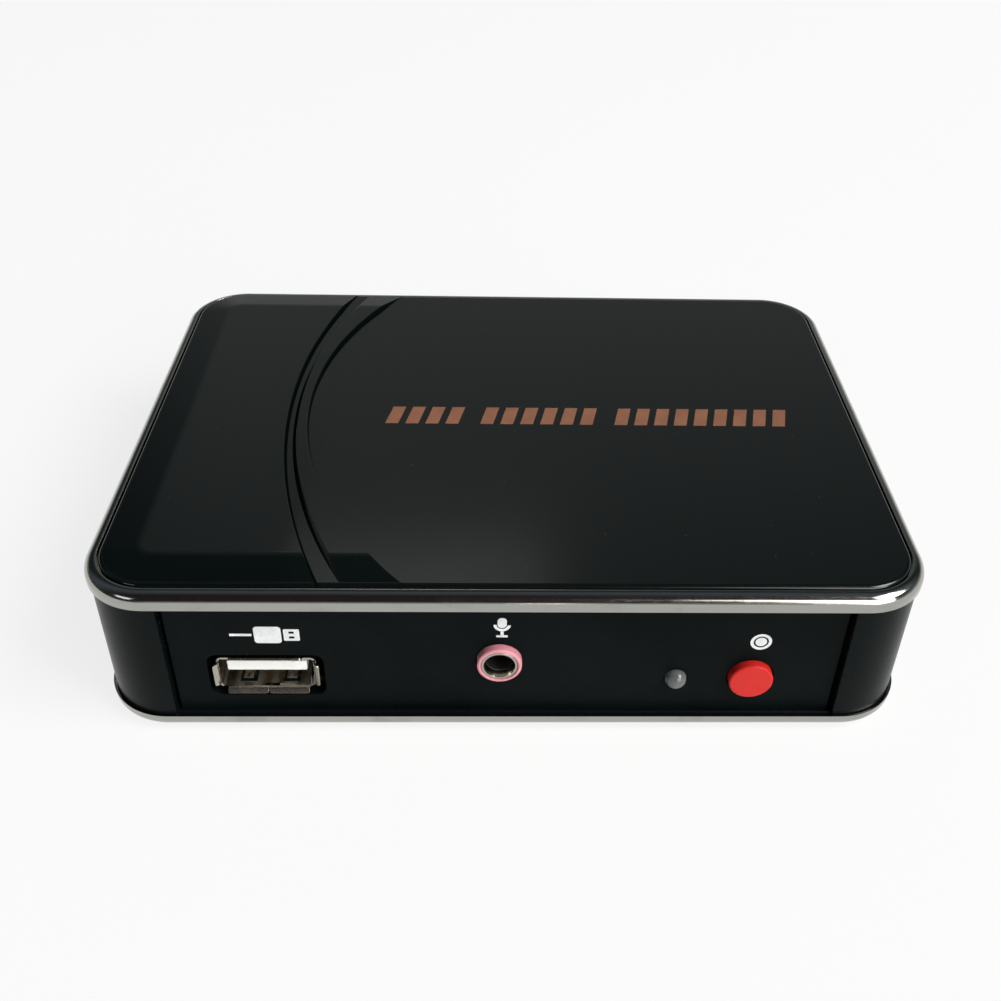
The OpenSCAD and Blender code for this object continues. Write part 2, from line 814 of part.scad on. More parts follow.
module heat_sink() {
  color("#9a9da0") translate([-sink_side/2, chip_y - sink_side/2, z_sink]) {
    cube([sink_side, sink_side, sink_base]);
    for (i = [0 : fin_count - 1])
      translate([i*(sink_side - fin_t)/(fin_count - 1), 0, sink_base]) cube([fin_t, sink_side, fin_h]);
  }
}

module memory_chips() {
  color(chip_black) for (side = [-1, 1])
    on_board(-sink_side/2 - part_gap - memory_w/2, chip_y + side*(memory_d + part_gap)/2,
             memory_w, memory_d, memory_h);
}

module flash_chip() {
  legs = 4;
  color(chip_black) leg_chip(coil_x, front_row_y, flash_side, flash_side, flash_h, legs, flash_leg);
}

module interface_chip() {
  legs = 12;
  color(chip_black)
    leg_chip(hdmi_in_x, rear_row_y, interface_side, interface_side, interface_h, legs, interface_leg);
}

module audio_codec() {
  x = jack_x + jack_w/2 + part_gap + codec_side/2;
  color(chip_black) on_board(x, front_row_y - part_gap - codec_side, codec_side, codec_side, codec_h);
}

module clock_crystal() {
  color(steel) translate([hdmi_out_x, rear_row_y, z_board])
    linear_extrude(crystal_h) round_rect(crystal_w, crystal_d, crystal_d/2 - fit);
}

module power_inductors() {
  color("#4a4a48") for (i = [0, 1])
    translate([coil_x, chip_y + i*(coil_side + part_gap), z_board])
      linear_extrude(coil_h) round_rect(coil_side, coil_side, 1);
}

module filter_capacitors() {
  foot_h = 1;
  color("#8b8d92") for (i = [-1 : 1])
    translate([cap_x, chip_y + part_gap + i*(2*cap_r + part_gap), 0]) {
      rod(cap_r, z_board + foot_h, z_board + cap_h);
      translate([-cap_r, -cap_r, z_board]) cube([2*cap_r, 2*cap_r, foot_h]);
    }
}

module voltage_regulator() {
  legs = 3;
  color(chip_black) leg_chip(cap_x, front_row_y, regulator_w, regulator_d, regulator_h, legs, regulator_leg);
}

// Flared lip on one edge of the USB shell's mouth: w along the edge, out to that edge
module usb_edge_lip(turn, w, out) {
  rotate([0, 0, turn]) translate([-w/2, out - sheet_t, usb_mouth])
    rotate([-usb_flare, 0, 0]) cube([w, sheet_t, usb_lip]);
}

// Two spring windows side by side in the upper and lower sheet of the shell
module usb_window_places() {
  for (side = [-1, 1], up = [0, 180])
    rotate([0, 0, up])
      translate([side*usb_window_x, usb_h/2 - sheet_t, usb_mouth - usb_window_back - usb_window_len]) children();
}

module usb_shell() {
  finger_w = usb_window_w*0.6;
  finger_len = usb_window_len - sheet_t;
  finger_tilt = 4;
  color(chrome) at_front(usb_x, usb_z) {
    difference() {
      translate([0, 0, -usb_len]) linear_extrude(usb_len + usb_mouth) difference() {
        round_rect(usb_w, usb_h, usb_round);
        round_rect(usb_w - 2*sheet_t, usb_h - 2*sheet_t, usb_round - sheet_t);
      }
      usb_window_places() translate([-usb_window_w/2, -over, 0])
        cube([usb_window_w, sheet_t + 2*over, usb_window_len]);
    }
    usb_edge_lip(0, usb_top_lip, usb_h/2);
    usb_edge_lip(180, usb_low_lip, usb_h/2);
    for (turn = [90, -90]) usb_edge_lip(turn, usb_side_lip, usb_w/2);
    usb_window_places() rotate([finger_tilt, 0, 0])
      translate([-finger_w/2, 0, -sheet_t]) cube([finger_w, sheet_t, finger_len]);
  }
}

module usb_tongue() {
  in_w = usb_w - 2*sheet_t - fit;
  in_h = usb_h - 2*sheet_t - fit;
  color("white") at_front(usb_x, usb_z) {
    translate([0, 0, -usb_len]) linear_extrude(usb_block) round_rect(in_w, in_h, usb_round - sheet_t);
    block(usb_tongue_w, usb_tongue_up, usb_tongue_up + usb_tongue_t, usb_block - usb_len, -usb_tongue_back);
  }
}

module usb_contacts() {
  color(gold) at_front(usb_x, usb_z)
    for (x = [-usb_outer, -usb_inner, usb_inner, usb_outer]) translate([x, 0, 0])
      block(usb_contact_w, usb_tongue_up - usb_contact_t, usb_tongue_up,
            usb_block - usb_len, -usb_tongue_back - usb_contact_gap);
}

// Pink housing with the collar that comes through the panel
module mic_jack_housing() {
  color("#e79ab0") at_front(jack_x, jack_z) difference() {
    union() {
      rod(jack_r, behind - over, jack_proud);
      block(jack_w, -jack_up, jack_top, jack_end - jack_back, behind);
    }
    rod(jack_sleeve_r + fit/2, jack_sleeve_end, jack_proud + over);
    rod(jack_cavity_r, jack_end, jack_sleeve_end + over);
    for (up = [0, 180])
      rotate([0, 0, up])
        block(jack_leaf_w + 4*fit, 0, jack_leaf_up + fit, jack_leaf_end, jack_sleeve_end - jack_leaf_w/2);
  }
}

module mic_jack_sleeve() {
  mouth = 0.35;
  mouth_deep = 0.8;
  color(chrome) at_front(jack_x, jack_z) difference() {
    rod(jack_sleeve_r, jack_sleeve_end, jack_proud - fit);
    rod(jack_bore_r, jack_sleeve_end - over, jack_proud);
    translate([0, 0, jack_proud - fit - mouth_deep])
      cylinder(r1 = jack_bore_r, r2 = jack_bore_r + mouth, h = mouth_deep);
  }
}

module mic_jack_springs() {
  leaf_t = 0.25;
  leaf_low = jack_bore_r + 2*fit;
  color(gold) at_front(jack_x, jack_z) for (up = [0, 180])
    rotate([0, 0, up]) {
      block(jack_leaf_w, leaf_low, leaf_low + leaf_t, jack_leaf_end, jack_sleeve_end - jack_leaf_w);
      block(jack_leaf_w, leaf_low, jack_leaf_up, jack_leaf_end, jack_leaf_end + leaf_t);
    }
}

module status_led_lens() {
  color("#9aa0a6") at_front(led_x, led_z) {
    rotate_extrude() quarter(led_r, 1, 1);
    rod(led_r, -led_len, 0);
    rod(led_flange_r, -led_len, behind - fit);
  }
}

module status_led_leads() {
  stub = 0.8;
  color(steel) led_leg_places() {
    translate([-led_leg/2, led_leg/2 - led_reach, led_z - led_leg/2])
      cube([led_leg, led_reach, led_leg]);
    translate([-led_leg/2, -led_leg/2, z_board0 - stub])
      cube([led_leg, led_leg, led_z + led_leg/2 - z_board0 + stub]);
  }
}

// Red cap with a rounded front edge, a flange behind the panel and a socket for the plunger;
// a flat under the flange clears the board at full travel
module record_button() {
  flange_r = button_r + button_flange;
  socket_r = plunger_r + socket_wall;
  color("#d9382f") at_front(button_x, button_z) difference() {
    union() {
      rod(button_r, flange_front - over/2, button_proud - button_round);
      rotate_extrude() {
        translate([button_r - button_round, button_proud - button_round]) quarter(button_round, 1, 1);
        translate([0, button_proud - button_round]) square([button_r - button_round, button_round]);
      }
      rod(flange_r, socket_front, flange_front);
      rod(socket_r, socket_back, socket_front);
    }
    rod(plunger_r + fit/2, socket_back - over, socket_front);
    block(2*flange_r, -flange_r - over, 3*fit - button_up, socket_back, flat_front);
  }
}

module switch_plunger() {
  color("#e8e4da") at_front(button_x, button_z) rod(plunger_r, plunger_back, socket_front);
}

module switch_body() {
  color(chip_black) at_front(button_x, button_z) difference() {
    block(switch_w, -button_up, button_up, switch_back, switch_front);
    rod(plunger_r + fit, plunger_back, switch_front + over);
    rod(dome_r + fit, dome_base, plunger_back + fit);
  }
}

// Sheet frame that holds the switch body down on the board
module switch_frame() {
  leg_w = 1.2;
  color(steel) at_front(button_x, button_z) difference() {
    union() {
      block(switch_w + 2*sheet_t, -button_up, button_up + sheet_t, switch_front, frame_front);
      block(switch_w + 2*sheet_t, button_up, button_up + sheet_t, switch_back + leg_w, switch_front);
      for (side = [-1, 1]) translate([side*(switch_w + sheet_t)/2, 0, 0])
        block(sheet_t, -button_up, button_up + sheet_t, switch_back + leg_w, switch_front);
    }
    rod(plunger_r + 3*fit, switch_front - over, frame_front + over);
  }
}

module switch_dome() {
  flat_r = 1;
  color(gold) at_front(button_x, button_z) translate([0, 0, dome_base]) rotate_extrude()
    polygon([[0, dome_h], [flat_r, dome_h], [dome_r, dome_t], [dome_r, 0],
             [dome_r - dome_t, 0], [flat_r - dome_t/2, dome_h - dome_t], [0, dome_h - dome_t]]);
}

module hdmi_shell(x) {
  color(chrome) at_rear(x, hdmi_z) translate([0, 0, -hdmi_len])
    linear_extrude(hdmi_len) difference() {
      hdmi_outline(0);
      hdmi_outline(sheet_t);
    }
}

module hdmi_tongue(x) {
  color(chip_black) at_rear(x, hdmi_z) {
    translate([0, 0, -hdmi_len]) linear_extrude(hdmi_block) hdmi_outline(sheet_t + fit/2);
    block(hdmi_tongue_w, 0, hdmi_tongue_t, hdmi_block - hdmi_len, hdmi_tip);
  }
}

// Row of contacts on one face of an HDMI tongue
module hdmi_contact_row(count, low) {
  for (i = [0 : count - 1]) translate([(i - (count - 1)/2)*hdmi_pitch, 0, 0])
    block(hdmi_contact_w, low, low + hdmi_contact_t, hdmi_block - hdmi_len, hdmi_tip - hdmi_contact_gap);
}

module hdmi_contacts(x) {
  color(gold) at_rear(x, hdmi_z) {
    hdmi_contact_row(hdmi_upper, hdmi_tongue_t);
    hdmi_contact_row(hdmi_upper - 1, -hdmi_contact_t);
  }
}

module hdmi_in_shell() { hdmi_shell(hdmi_in_x); }
module hdmi_in_tongue() { hdmi_tongue(hdmi_in_x); }
module hdmi_in_contacts() { hdmi_contacts(hdmi_in_x); }
module hdmi_out_shell() { hdmi_shell(hdmi_out_x); }
module hdmi_out_tongue() { hdmi_tongue(hdmi_out_x); }
module hdmi_out_contacts() { hdmi_contacts(hdmi_out_x); }

// Mini-DIN socket: a block on the board, a metal shell in it and an insert with contact holes
module component_block() {
  w = 2*(din_r + din_wall);
  color(chip_black) at_rear(din_x, din_z) difference() {
    block(w, -din_up, din_r + din_wall, behind - din_len, behind);
    rod(din_r + fit/2, din_end, behind + over);
  }
}

module component_shell() {
  key_w = 2;
  key_len = 3;
  color(chrome) at_rear(din_x, din_z) difference() {
    rod(din_r, din_end, 0);
    rod(din_r - sheet_t, din_end + sheet_t, over);
    translate([-key_w/2, din_r - 2*sheet_t, -key_len]) cube([key_w, 3*sheet_t, key_len + over]);
  }
}

module component_insert() {
  ring_r = din_insert_r - 1;
  pair_x = 1.1;
  pair_y = 0.6;
  key_w = 1.6;
  key_t = 0.8;
  deep = -6;
  tip = -0.6;
  color(chip_black) at_rear(din_x, din_z) difference() {
    rod(din_insert_r, din_end + sheet_t, tip);
    for (turn = [35, 75, 105, 145, 215, 325]) rotate([0, 0, turn]) translate([ring_r, 0, 0])
      rod(din_pin_r, deep, over);
    for (side = [-1, 1]) translate([side*pair_x, -pair_y, 0]) rod(din_pin_r, deep, over);
    block(key_w, -ring_r, key_t - ring_r, deep, over);
  }
}

// DC inlet: a housing with a round nose, its centre pin and a leaf spring in a slot below the bore
dc_margin = 0.4;
dc_slot = dc_bore_r + 1.2;
dc_leaf_len = 5.5;
module dc_jack_housing() {
  slot_w = 2.4;
  color(chip_black) at_rear(dc_x, dc_z) difference() {
    union() {
      rod(dc_nose_r, behind - over, 0);
      block(2*(dc_nose_r + dc_margin), -dc_up, dc_nose_r + dc_margin, behind - dc_len, behind);
    }
    rod(dc_bore_r, dc_end, over);
    rod(dc_pin_r + fit/2, behind - dc_len - over, dc_end + over);
    block(slot_w, -dc_slot, 0, dc_end, dc_end + dc_leaf_len + fit);
  }
}

module dc_jack_pin() {
  tip = dc_pin_r/2;
  tip_z = -dc_pin_back - tip;
  color(steel) at_rear(dc_x, dc_z) {
    rod(dc_pin_r, behind - dc_len, tip_z);
    translate([0, 0, tip_z]) cylinder(r1 = dc_pin_r, r2 = dc_pin_r - tip, h = tip);
  }
}

module dc_jack_spring() {
  leaf_t = 0.3;
  leaf_w = 1.8;
  color(gold) at_rear(dc_x, dc_z) block(leaf_w, -dc_slot, leaf_t - dc_slot, dc_end, dc_end + dc_leaf_len);
}

top_cover();
top_trim_ring();
bottom_case();
bottom_trim_ring();
front_panel();
rear_panel();
rubber_feet();
case_screws();
board_screws();
main_board();
video_processor();
thermal_pad();
heat_sink();
memory_chips();
flash_chip();
interface_chip();
audio_codec();
clock_crystal();
power_inductors();
filter_capacitors();
voltage_regulator();
usb_shell();
usb_tongue();
usb_contacts();
mic_jack_housing();
mic_jack_sleeve();
mic_jack_springs();
status_led_lens();
status_led_leads();
record_button();
switch_plunger();
switch_body();
switch_frame();
switch_dome();
hdmi_in_shell();
hdmi_in_tongue();
hdmi_in_contacts();
hdmi_out_shell();
hdmi_out_tongue();
hdmi_out_contacts();
component_block();
component_shell();
component_insert();
dc_jack_housing();
dc_jack_pin();
dc_jack_spring();
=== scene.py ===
"""Video capture box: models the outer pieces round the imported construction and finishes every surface."""

import json
import math
from contextlib import contextmanager

import bmesh
import bpy
from bpy.props import FloatProperty, FloatVectorProperty, PointerProperty
from mathutils import Matrix, Vector


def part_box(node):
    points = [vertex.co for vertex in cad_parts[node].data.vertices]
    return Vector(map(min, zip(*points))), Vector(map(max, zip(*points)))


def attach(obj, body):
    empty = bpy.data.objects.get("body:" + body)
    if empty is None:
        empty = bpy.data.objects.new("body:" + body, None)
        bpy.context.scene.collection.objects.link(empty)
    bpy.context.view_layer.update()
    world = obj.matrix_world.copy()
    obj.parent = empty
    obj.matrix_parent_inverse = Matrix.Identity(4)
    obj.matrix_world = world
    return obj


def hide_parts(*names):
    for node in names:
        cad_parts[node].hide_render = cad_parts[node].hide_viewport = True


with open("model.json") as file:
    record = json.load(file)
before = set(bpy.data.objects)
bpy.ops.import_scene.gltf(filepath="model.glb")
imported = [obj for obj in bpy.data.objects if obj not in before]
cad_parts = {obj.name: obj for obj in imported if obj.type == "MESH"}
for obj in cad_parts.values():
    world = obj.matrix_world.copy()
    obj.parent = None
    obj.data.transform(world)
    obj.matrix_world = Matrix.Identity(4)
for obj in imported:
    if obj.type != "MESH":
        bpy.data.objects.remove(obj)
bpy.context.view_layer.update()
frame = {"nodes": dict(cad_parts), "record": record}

bl_info = {
    "name": "Video Capture Box",
    "version": (1, 0, 0),
    "blender": (4, 5, 0),
    "location": "View3D > Sidebar > Capture Box",
    "description": "Models and finishes a low video capture box with two bright trim rings",
    "category": "Object",
}

MM = 0.001
TINY = 1e-6

# Cosine of directions that count as the same, and angles of edges that are sharp, to be rounded or flat
SAME_WAY = 0.999
SHARP = math.radians(60)
ROUNDED = math.radians(40)
FLAT = math.radians(0.5)

# Steps of round stretches: box corners, rolled edges, turned pieces and the long arcs of the cover
CORNER_STEPS = 32
ROLL_STEPS = 20
TURN_STEPS = 96
ARC_STEPS = 720

# Overlap of cutting tools, cooling slots, groups of printed bars, and the heads of case and board screws
OVER = 1 * MM
VENTS = 7
BAR_GROUPS = (4, 6, 9)
SCREW_HEAD_HEIGHT = 1.9 * MM
BOARD_SCREW_HEAD = 2.2 * MM

# Stage floor in metres, camera sensor in camera millimetres, and the rays that see the floor pale
FLOOR_RADIUS = 12
FLOOR_STEPS = 128
SENSOR = 36
SEEN_RAYS = ("Is Camera Ray", "Is Glossy Ray", "Is Transmission Ray")

# Heights and places that the frame gives
Z_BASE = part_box("bottom_trim_ring")[0].z
Z_WALL_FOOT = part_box("bottom_trim_ring")[1].z
Z_WALL_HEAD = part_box("top_trim_ring")[0].z
Z_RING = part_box("top_trim_ring")[1].z
Z_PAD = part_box("top_cover")[1].z
Z_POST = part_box("top_cover")[0].z
Z_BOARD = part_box("main_board")[1].z
Z_BOARD_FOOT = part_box("main_board")[0].z
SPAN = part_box("top_trim_ring")[1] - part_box("top_trim_ring")[0]
PANEL_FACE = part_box("rear_panel")[1].y
PANEL_THICK = PANEL_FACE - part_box("rear_panel")[0].y
PANEL_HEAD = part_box("rear_panel")[1].z


def middle(node):
    """Middle of a node's box."""
    low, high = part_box(node)
    return (low + high) / 2


def size_of(node):
    """Width, depth and height of a node's box."""
    low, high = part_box(node)
    return high - low


# Settings

def length(name, description, millimetres):
    """A size that a user would change, given in millimetres."""
    return FloatProperty(
        name=name, description=description, default=millimetres * MM,
        subtype="DISTANCE", unit="LENGTH", precision=5,
    )


def angle(name, description, degrees):
    """An angle that a user would change, given in degrees."""
    return FloatProperty(
        name=name, description=description, default=math.radians(degrees), subtype="ANGLE", unit="ROTATION"
    )


def colour(name, description, red, green, blue):
    """A colour that a user would change, in linear light."""
    return FloatVectorProperty(
        name=name, description=description, default=(red, green, blue), subtype="COLOR", size=3, min=0, max=1
    )


class CaseSizes(bpy.types.PropertyGroup):
    """Outline, walls and floor of the box"""

    width: length("Width", "Width over the trim rings", SPAN.x / MM)
    depth: length("Depth", "Depth over the trim rings", SPAN.y / MM)
    corner: length("Corner radius", "Corner radius of the trim rings seen from above", 9.5)
    setback: length("Wall setback", "Setback of the side walls behind the trim rings", 0.45)
    wall: length("Wall", "Thickness of the side walls", 2.2)
    seat: length("Seat", "Setback of the seat under the panels behind the trim rings", 0.85)
    step: length("Seat step", "Height of the rounded step from the floor's lip up to the seat", 0.25)
    joint_flat: length("Joint flat", "Straight wall between a corner and the panel joint", 1.5)
    joint_gap: length("Joint gap", "Width of the joint between a wall and a panel", 0.5)
    joint_round: length("Joint rounding", "Rounding of the wall's edge at the joint", 0.22)
    fit: length("Fit", "Clearance between pieces that fit into each other", 0.1)
    guide: length("Guide rib", "Thickness of the ribs behind the panels", 1.5)
    guide_lap: length("Guide lap", "Reach of a guide rib behind the panel", 0.6)
    guide_drop: length("Guide drop", "Height of the walls above the guide ribs", 3.5)
    post: length("Post", "Radius of the screw posts", 3.5)
    standoff: length("Standoff", "Radius of the board's standoffs", 3.0)
    pilot: length("Pilot hole", "Radius of the pilot holes in the standoffs", 1.25)
    screw: length("Screw", "Shank radius of the case screws", 1.5)
    screw_head: length("Screw head", "Head radius of the case screws", 2.7)
    foot: length("Foot", "Radius of a rubber foot", 4.5)
    foot_round: length("Foot rounding", "Rounding of a foot's edge", 0.5)
    vent: length("Cooling slot", "Width of a cooling slot", 2.0)
    vent_length: length("Slot length", "Length of a cooling slot", 24.0)
    vent_pitch: length("Slot pitch", "Pitch of the cooling slots", 5.0)
    rim_round: length("Rim rounding", "Rounding of the holes in the underside", 0.15)


class TrimSizes(bpy.types.PropertyGroup):
    """The two bright rings"""

    top_fillet: length("Top rounding", "Radius of the rounded top of the upper ring", 1.7)
    bottom_fillet: length("Foot rounding", "Radius of the rounded foot of the lower ring", 1.4)
    crest: length("Crest", "Flat crest of the upper ring beside the cover", 0.2)
    crest_round: length("Crest rounding", "Rounding of the crest's inner edge", 0.06)
    rim: length("Rim", "Width of the lower ring's upper edge outside the lip of the case", 0.25)
    reach: length("Reach", "Reach of the hidden flange from the outside", 3.2)
    flange: length("Flange", "Thickness of the hidden flange", 1.0)


class CoverSizes(bpy.types.PropertyGroup):
    """The cover with its raised pad, groove and ridge"""

    thick: length("Thickness", "Thickness of the cover plate", 2.4)
    roll: length("Rolled edge", "Radius of the rolled edge", 0.6)
    pad_height: length("Pad height", "Height of the raised pad above the field", 0.7)
    pad_run: length("Pad slope", "Run of the sloping border of the pad", 4.75)
    pad_round: length("Pad rounding", "Width of the soft crease at the top of the slope", 0.5)
    crest_round: length("Crest rounding", "Rounding of the crests beside the groove", 0.06)
    groove_run: length("Groove run", "Run of the groove's outer wall", 0.2)
    ridge_run: length("Ridge run", "Run of the ridge's outer wall", 0.6)
    field_run: length("Field run", "Run of the ridge's inner wall", 0.1)
    groove_inset: length("Groove place", "Distance of the groove from the left side of the box", 22.55)
    groove_width: length("Groove width", "Width of the groove at its narrowest place", 0.85)
    ridge_width: length("Ridge width", "Width of the ridge at its narrowest place", 2.1)
    groove_radius: length("Groove radius", "Radius of the outer wall of the groove", 102.0)
    ridge_radius: length("Ridge radius", "Radius of the outer wall of the ridge", 84.0)
    field_radius: length("Field radius", "Radius of the inner wall of the ridge", 60.0)
    arc_shift: length("Arc shift", "Shift of the arcs towards the rear", 3.0)
    skirt_gap: length("Skirt gap", "Gap between the panels and the locating skirt", 1.0)
    skirt: length("Skirt", "Width of the locating skirt", 1.4)
    skirt_depth: length("Skirt depth", "Depth of the locating skirt", 1.6)
    boss: length("Boss", "Radius of the screw bosses under the cover", 3.2)
    pilot: length("Pilot hole", "Radius of the pilot holes in the bosses", 1.55)
    grip: length("Grip", "Depth of the pilot holes", 7.0)


class SocketSizes(bpy.types.PropertyGroup):
    """Sockets of both panels, indicator and button"""

    data_width: length("Data socket width", "Width of the data socket's shell", 13.4)
    data_height: length("Data socket height", "Height of the data socket's shell", 5.7)
    data_round: length("Data socket rounding", "Rounding of the data socket's long edges", 0.8)
    sheet: length("Sheet", "Thickness of the socket's sheet metal", 0.3)
    mouth_back: length("Mouth", "Distance of the shell's mouth behind the panel's face", 0.479)
    lip_out: length("Lip reach", "Reach of the lips past the panel's face", 0.33)
    flare: angle("Flare", "Angle of the flared lips", 55)
    bend: length("Bend", "Bending radius of the lips", 0.35)
    lip_round: length("Lip rounding", "Corner radius of the lips", 0.35)
    top_lip: length("Upper lip", "Width of the upper lip", 9.9)
    low_lip: length("Lower lip", "Width of the lower lip", 11.1)
    seam: length("Seam", "Gap between the two halves of the lower lip", 0.1)
    side_lip: length("Side lips", "Height of the side lips", 3.9)
    window: length("Window", "Width of the windows for the spring fingers", 2.3)
    window_length: length("Window length", "Length of the windows", 5.0)
    window_back: length("Window place", "Distance of the windows behind the mouth", 0.85)
    window_x: length("Window side", "Distance of the windows from the middle", 2.978)
    cut_width: length("Cut-out width", "Width of the panel's cut-out for the data socket", 15.65)
    cut_height: length("Cut-out height", "Height of the panel's cut-out for the data socket", 7.55)
    cut_round: length("Cut-out rounding", "Corner radius of the cut-out", 1.4)
    collar: length("Collar", "Radius of the microphone jack's collar", 3.05)
    collar_out: length("Collar reach", "Reach of the collar past the panel", 1.05)
    collar_round: length("Collar rounding", "Rounding of the collar's front edge", 0.3)
    sleeve: length("Sleeve", "Outer radius of the jack's metal sleeve", 2.5)
    bore: length("Bore", "Radius of the bore that takes the plug", 1.8)
    mouth: length("Mouth", "Width of the chamfer at the mouth of the bore", 0.35)
    mouth_depth: length("Mouth depth", "Depth of the chamfer at the mouth of the bore", 0.8)
    lens: length("Lens", "Radius of the indicator's lens", 1.5)
    button: length("Button", "Radius of the record button", 3.05)
    button_out: length("Button reach", "Reach of the button past the panel", 1.1)
    button_round: length("Button rounding", "Rounding of the button's front edge", 0.35)
    button_gap: length("Button gap", "Gap between the button and its hole", 0.15)
    button_travel: length("Button travel", "Travel of the button", 0.4)
    button_flange: length("Button flange", "Thickness of the button's flange", 0.9)
    hole_round: length("Hole rounding", "Rounding of the holes in the panels", 0.12)
    slant: length("Slant", "Slanted corner of the video sockets", 1.8)
    fold: length("Fold", "Fold radius of the video sockets' sheet", 0.5)
    nose: length("Inlet nose", "Radius of the power inlet's nose", 4.1)


class MarkSizes(bpy.types.PropertyGroup):
    """Printed marks"""

    ink: length("Ink", "Thickness of the ink", 0.02)
    line: length("Line", "Width of a printed line", 0.42)
    plug_height: length("Plug height", "Height of the plug mark above the table", 17.5)
    microphone_height: length("Microphone height", "Height of the microphone mark above the table", 19.1)
    record_height: length("Record height", "Height of the record mark above the table", 16.4)
    bar_start: length("Bar start", "Left end of the bars on the cover", -19.0)
    bar_middle: length("Bar middle", "Middle of the bars behind the middle of the box", 0.05)
    bar_length: length("Bar length", "Length of a bar", 4.6)
    bar_width: length("Bar width", "Width of a bar", 2.0)
    bar_slant: length("Bar slant", "Slant of a bar over its length", 1.0)
    bar_pitch: length("Bar pitch", "Distance between neighbouring bars", 3.1)
    bar_gap: length("Bar gap", "Extra distance between two groups of bars", 2.3)


class FinishColours(bpy.types.PropertyGroup):
    """Colours of the finishes, in linear light"""

    cover: colour("Cover", "Gloss black of the cover", 0.0015, 0.0032, 0.0031)
    wall: colour("Wall", "Half-gloss black of the side walls", 0.0035, 0.0052, 0.0052)
    panel: colour("Panel", "Fine-grained black of the panels", 0.0020, 0.0034, 0.0034)
    trim: colour("Trim", "Bright plating of the rings", 0.37, 0.37, 0.342)
    pink: colour("Pink", "Collar of the microphone jack", 0.74, 0.29, 0.335)
    red: colour("Red", "Record button", 0.62, 0.023, 0.018)
    white: colour("White", "Tongue of the data socket", 0.93, 0.93, 0.88)
    nickel: colour("Nickel", "Plated sheet of the sockets", 0.42, 0.39, 0.34)
    lens: colour("Lens", "Clear grey epoxy of the indicator", 0.14, 0.15, 0.15)
    ink: colour("White ink", "Printed marks on the panels", 0.86, 0.87, 0.87)
    copper: colour("Copper ink", "Printed strip on the cover", 0.33, 0.14, 0.075)
    board: colour("Board", "Solder mask of the main board", 0.006, 0.016, 0.010)
    gold: colour("Gold", "Plated contacts", 0.75, 0.52, 0.18)
    dust: colour("Dust", "Dust and scuffs on dark plastic", 0.30, 0.32, 0.31)


def lamp_bearing(degrees):
    """Where a soft box hangs, seen from above."""
    return angle("Bearing", "Bearing clockwise from straight behind, seen from above", degrees)


def lamp_height(degrees):
    """How high a soft box hangs."""
    return angle("Height", "Angle above the horizon", degrees)


def lamp_size(width, height):
    """Size of a soft box."""
    return FloatVectorProperty(
        name="Size", description="Width and height of the soft box",
        size=2, default=(width, height), unit="LENGTH",
    )


def lamp_power(watts):
    """Power of a soft box."""
    return FloatProperty(name="Power", description="Power of the soft box", default=watts, unit="POWER")


def lamp_colour(red, green, blue):
    """Colour of a soft box."""
    return colour("Colour", "Colour of the light", red, green, blue)


class SoftBox:
    """What the soft boxes share"""

    distance: length("Distance", "Distance of the soft box from the middle of the floor", 2600)


class RearSoftBox(SoftBox, bpy.types.PropertyGroup):
    """Narrow strip light behind the box"""

    bearing: lamp_bearing(-5.5)
    height: lamp_height(43.5)
    size: lamp_size(0.62, 0.09)
    power: lamp_power(0.28)
    colour: lamp_colour(1.0, 0.99, 0.97)


class LeftSoftBox(SoftBox, bpy.types.PropertyGroup):
    """Small soft box in front of the box, on the left"""

    bearing: lamp_bearing(-135)
    height: lamp_height(25)
    size: lamp_size(0.9, 0.5)
    power: lamp_power(3.2)
    colour: lamp_colour(0.85, 0.93, 1.0)


class RightSoftBox(SoftBox, bpy.types.PropertyGroup):
    """Soft box high on the right"""

    bearing: lamp_bearing(112)
    height: lamp_height(46)
    size: lamp_size(1.3, 1.3)
    power: lamp_power(52)
    colour: lamp_colour(1.0, 0.99, 0.97)


class WindowSoftBox(SoftBox, bpy.types.PropertyGroup):
    """Large low soft box on the right of the camera, like a window"""

    bearing: lamp_bearing(143)
    height: lamp_height(23)
    size: lamp_size(1.75, 1.8)
    power: lamp_power(46)
    colour: lamp_colour(1.0, 0.995, 0.98)


class FrontSoftBox(SoftBox, bpy.types.PropertyGroup):
    """Small low lamp in front of the box"""

    bearing: lamp_bearing(177)
    height: lamp_height(4)
    size: lamp_size(0.05, 0.3)
    power: lamp_power(0.3)
    colour: lamp_colour(1.0, 0.97, 0.92)


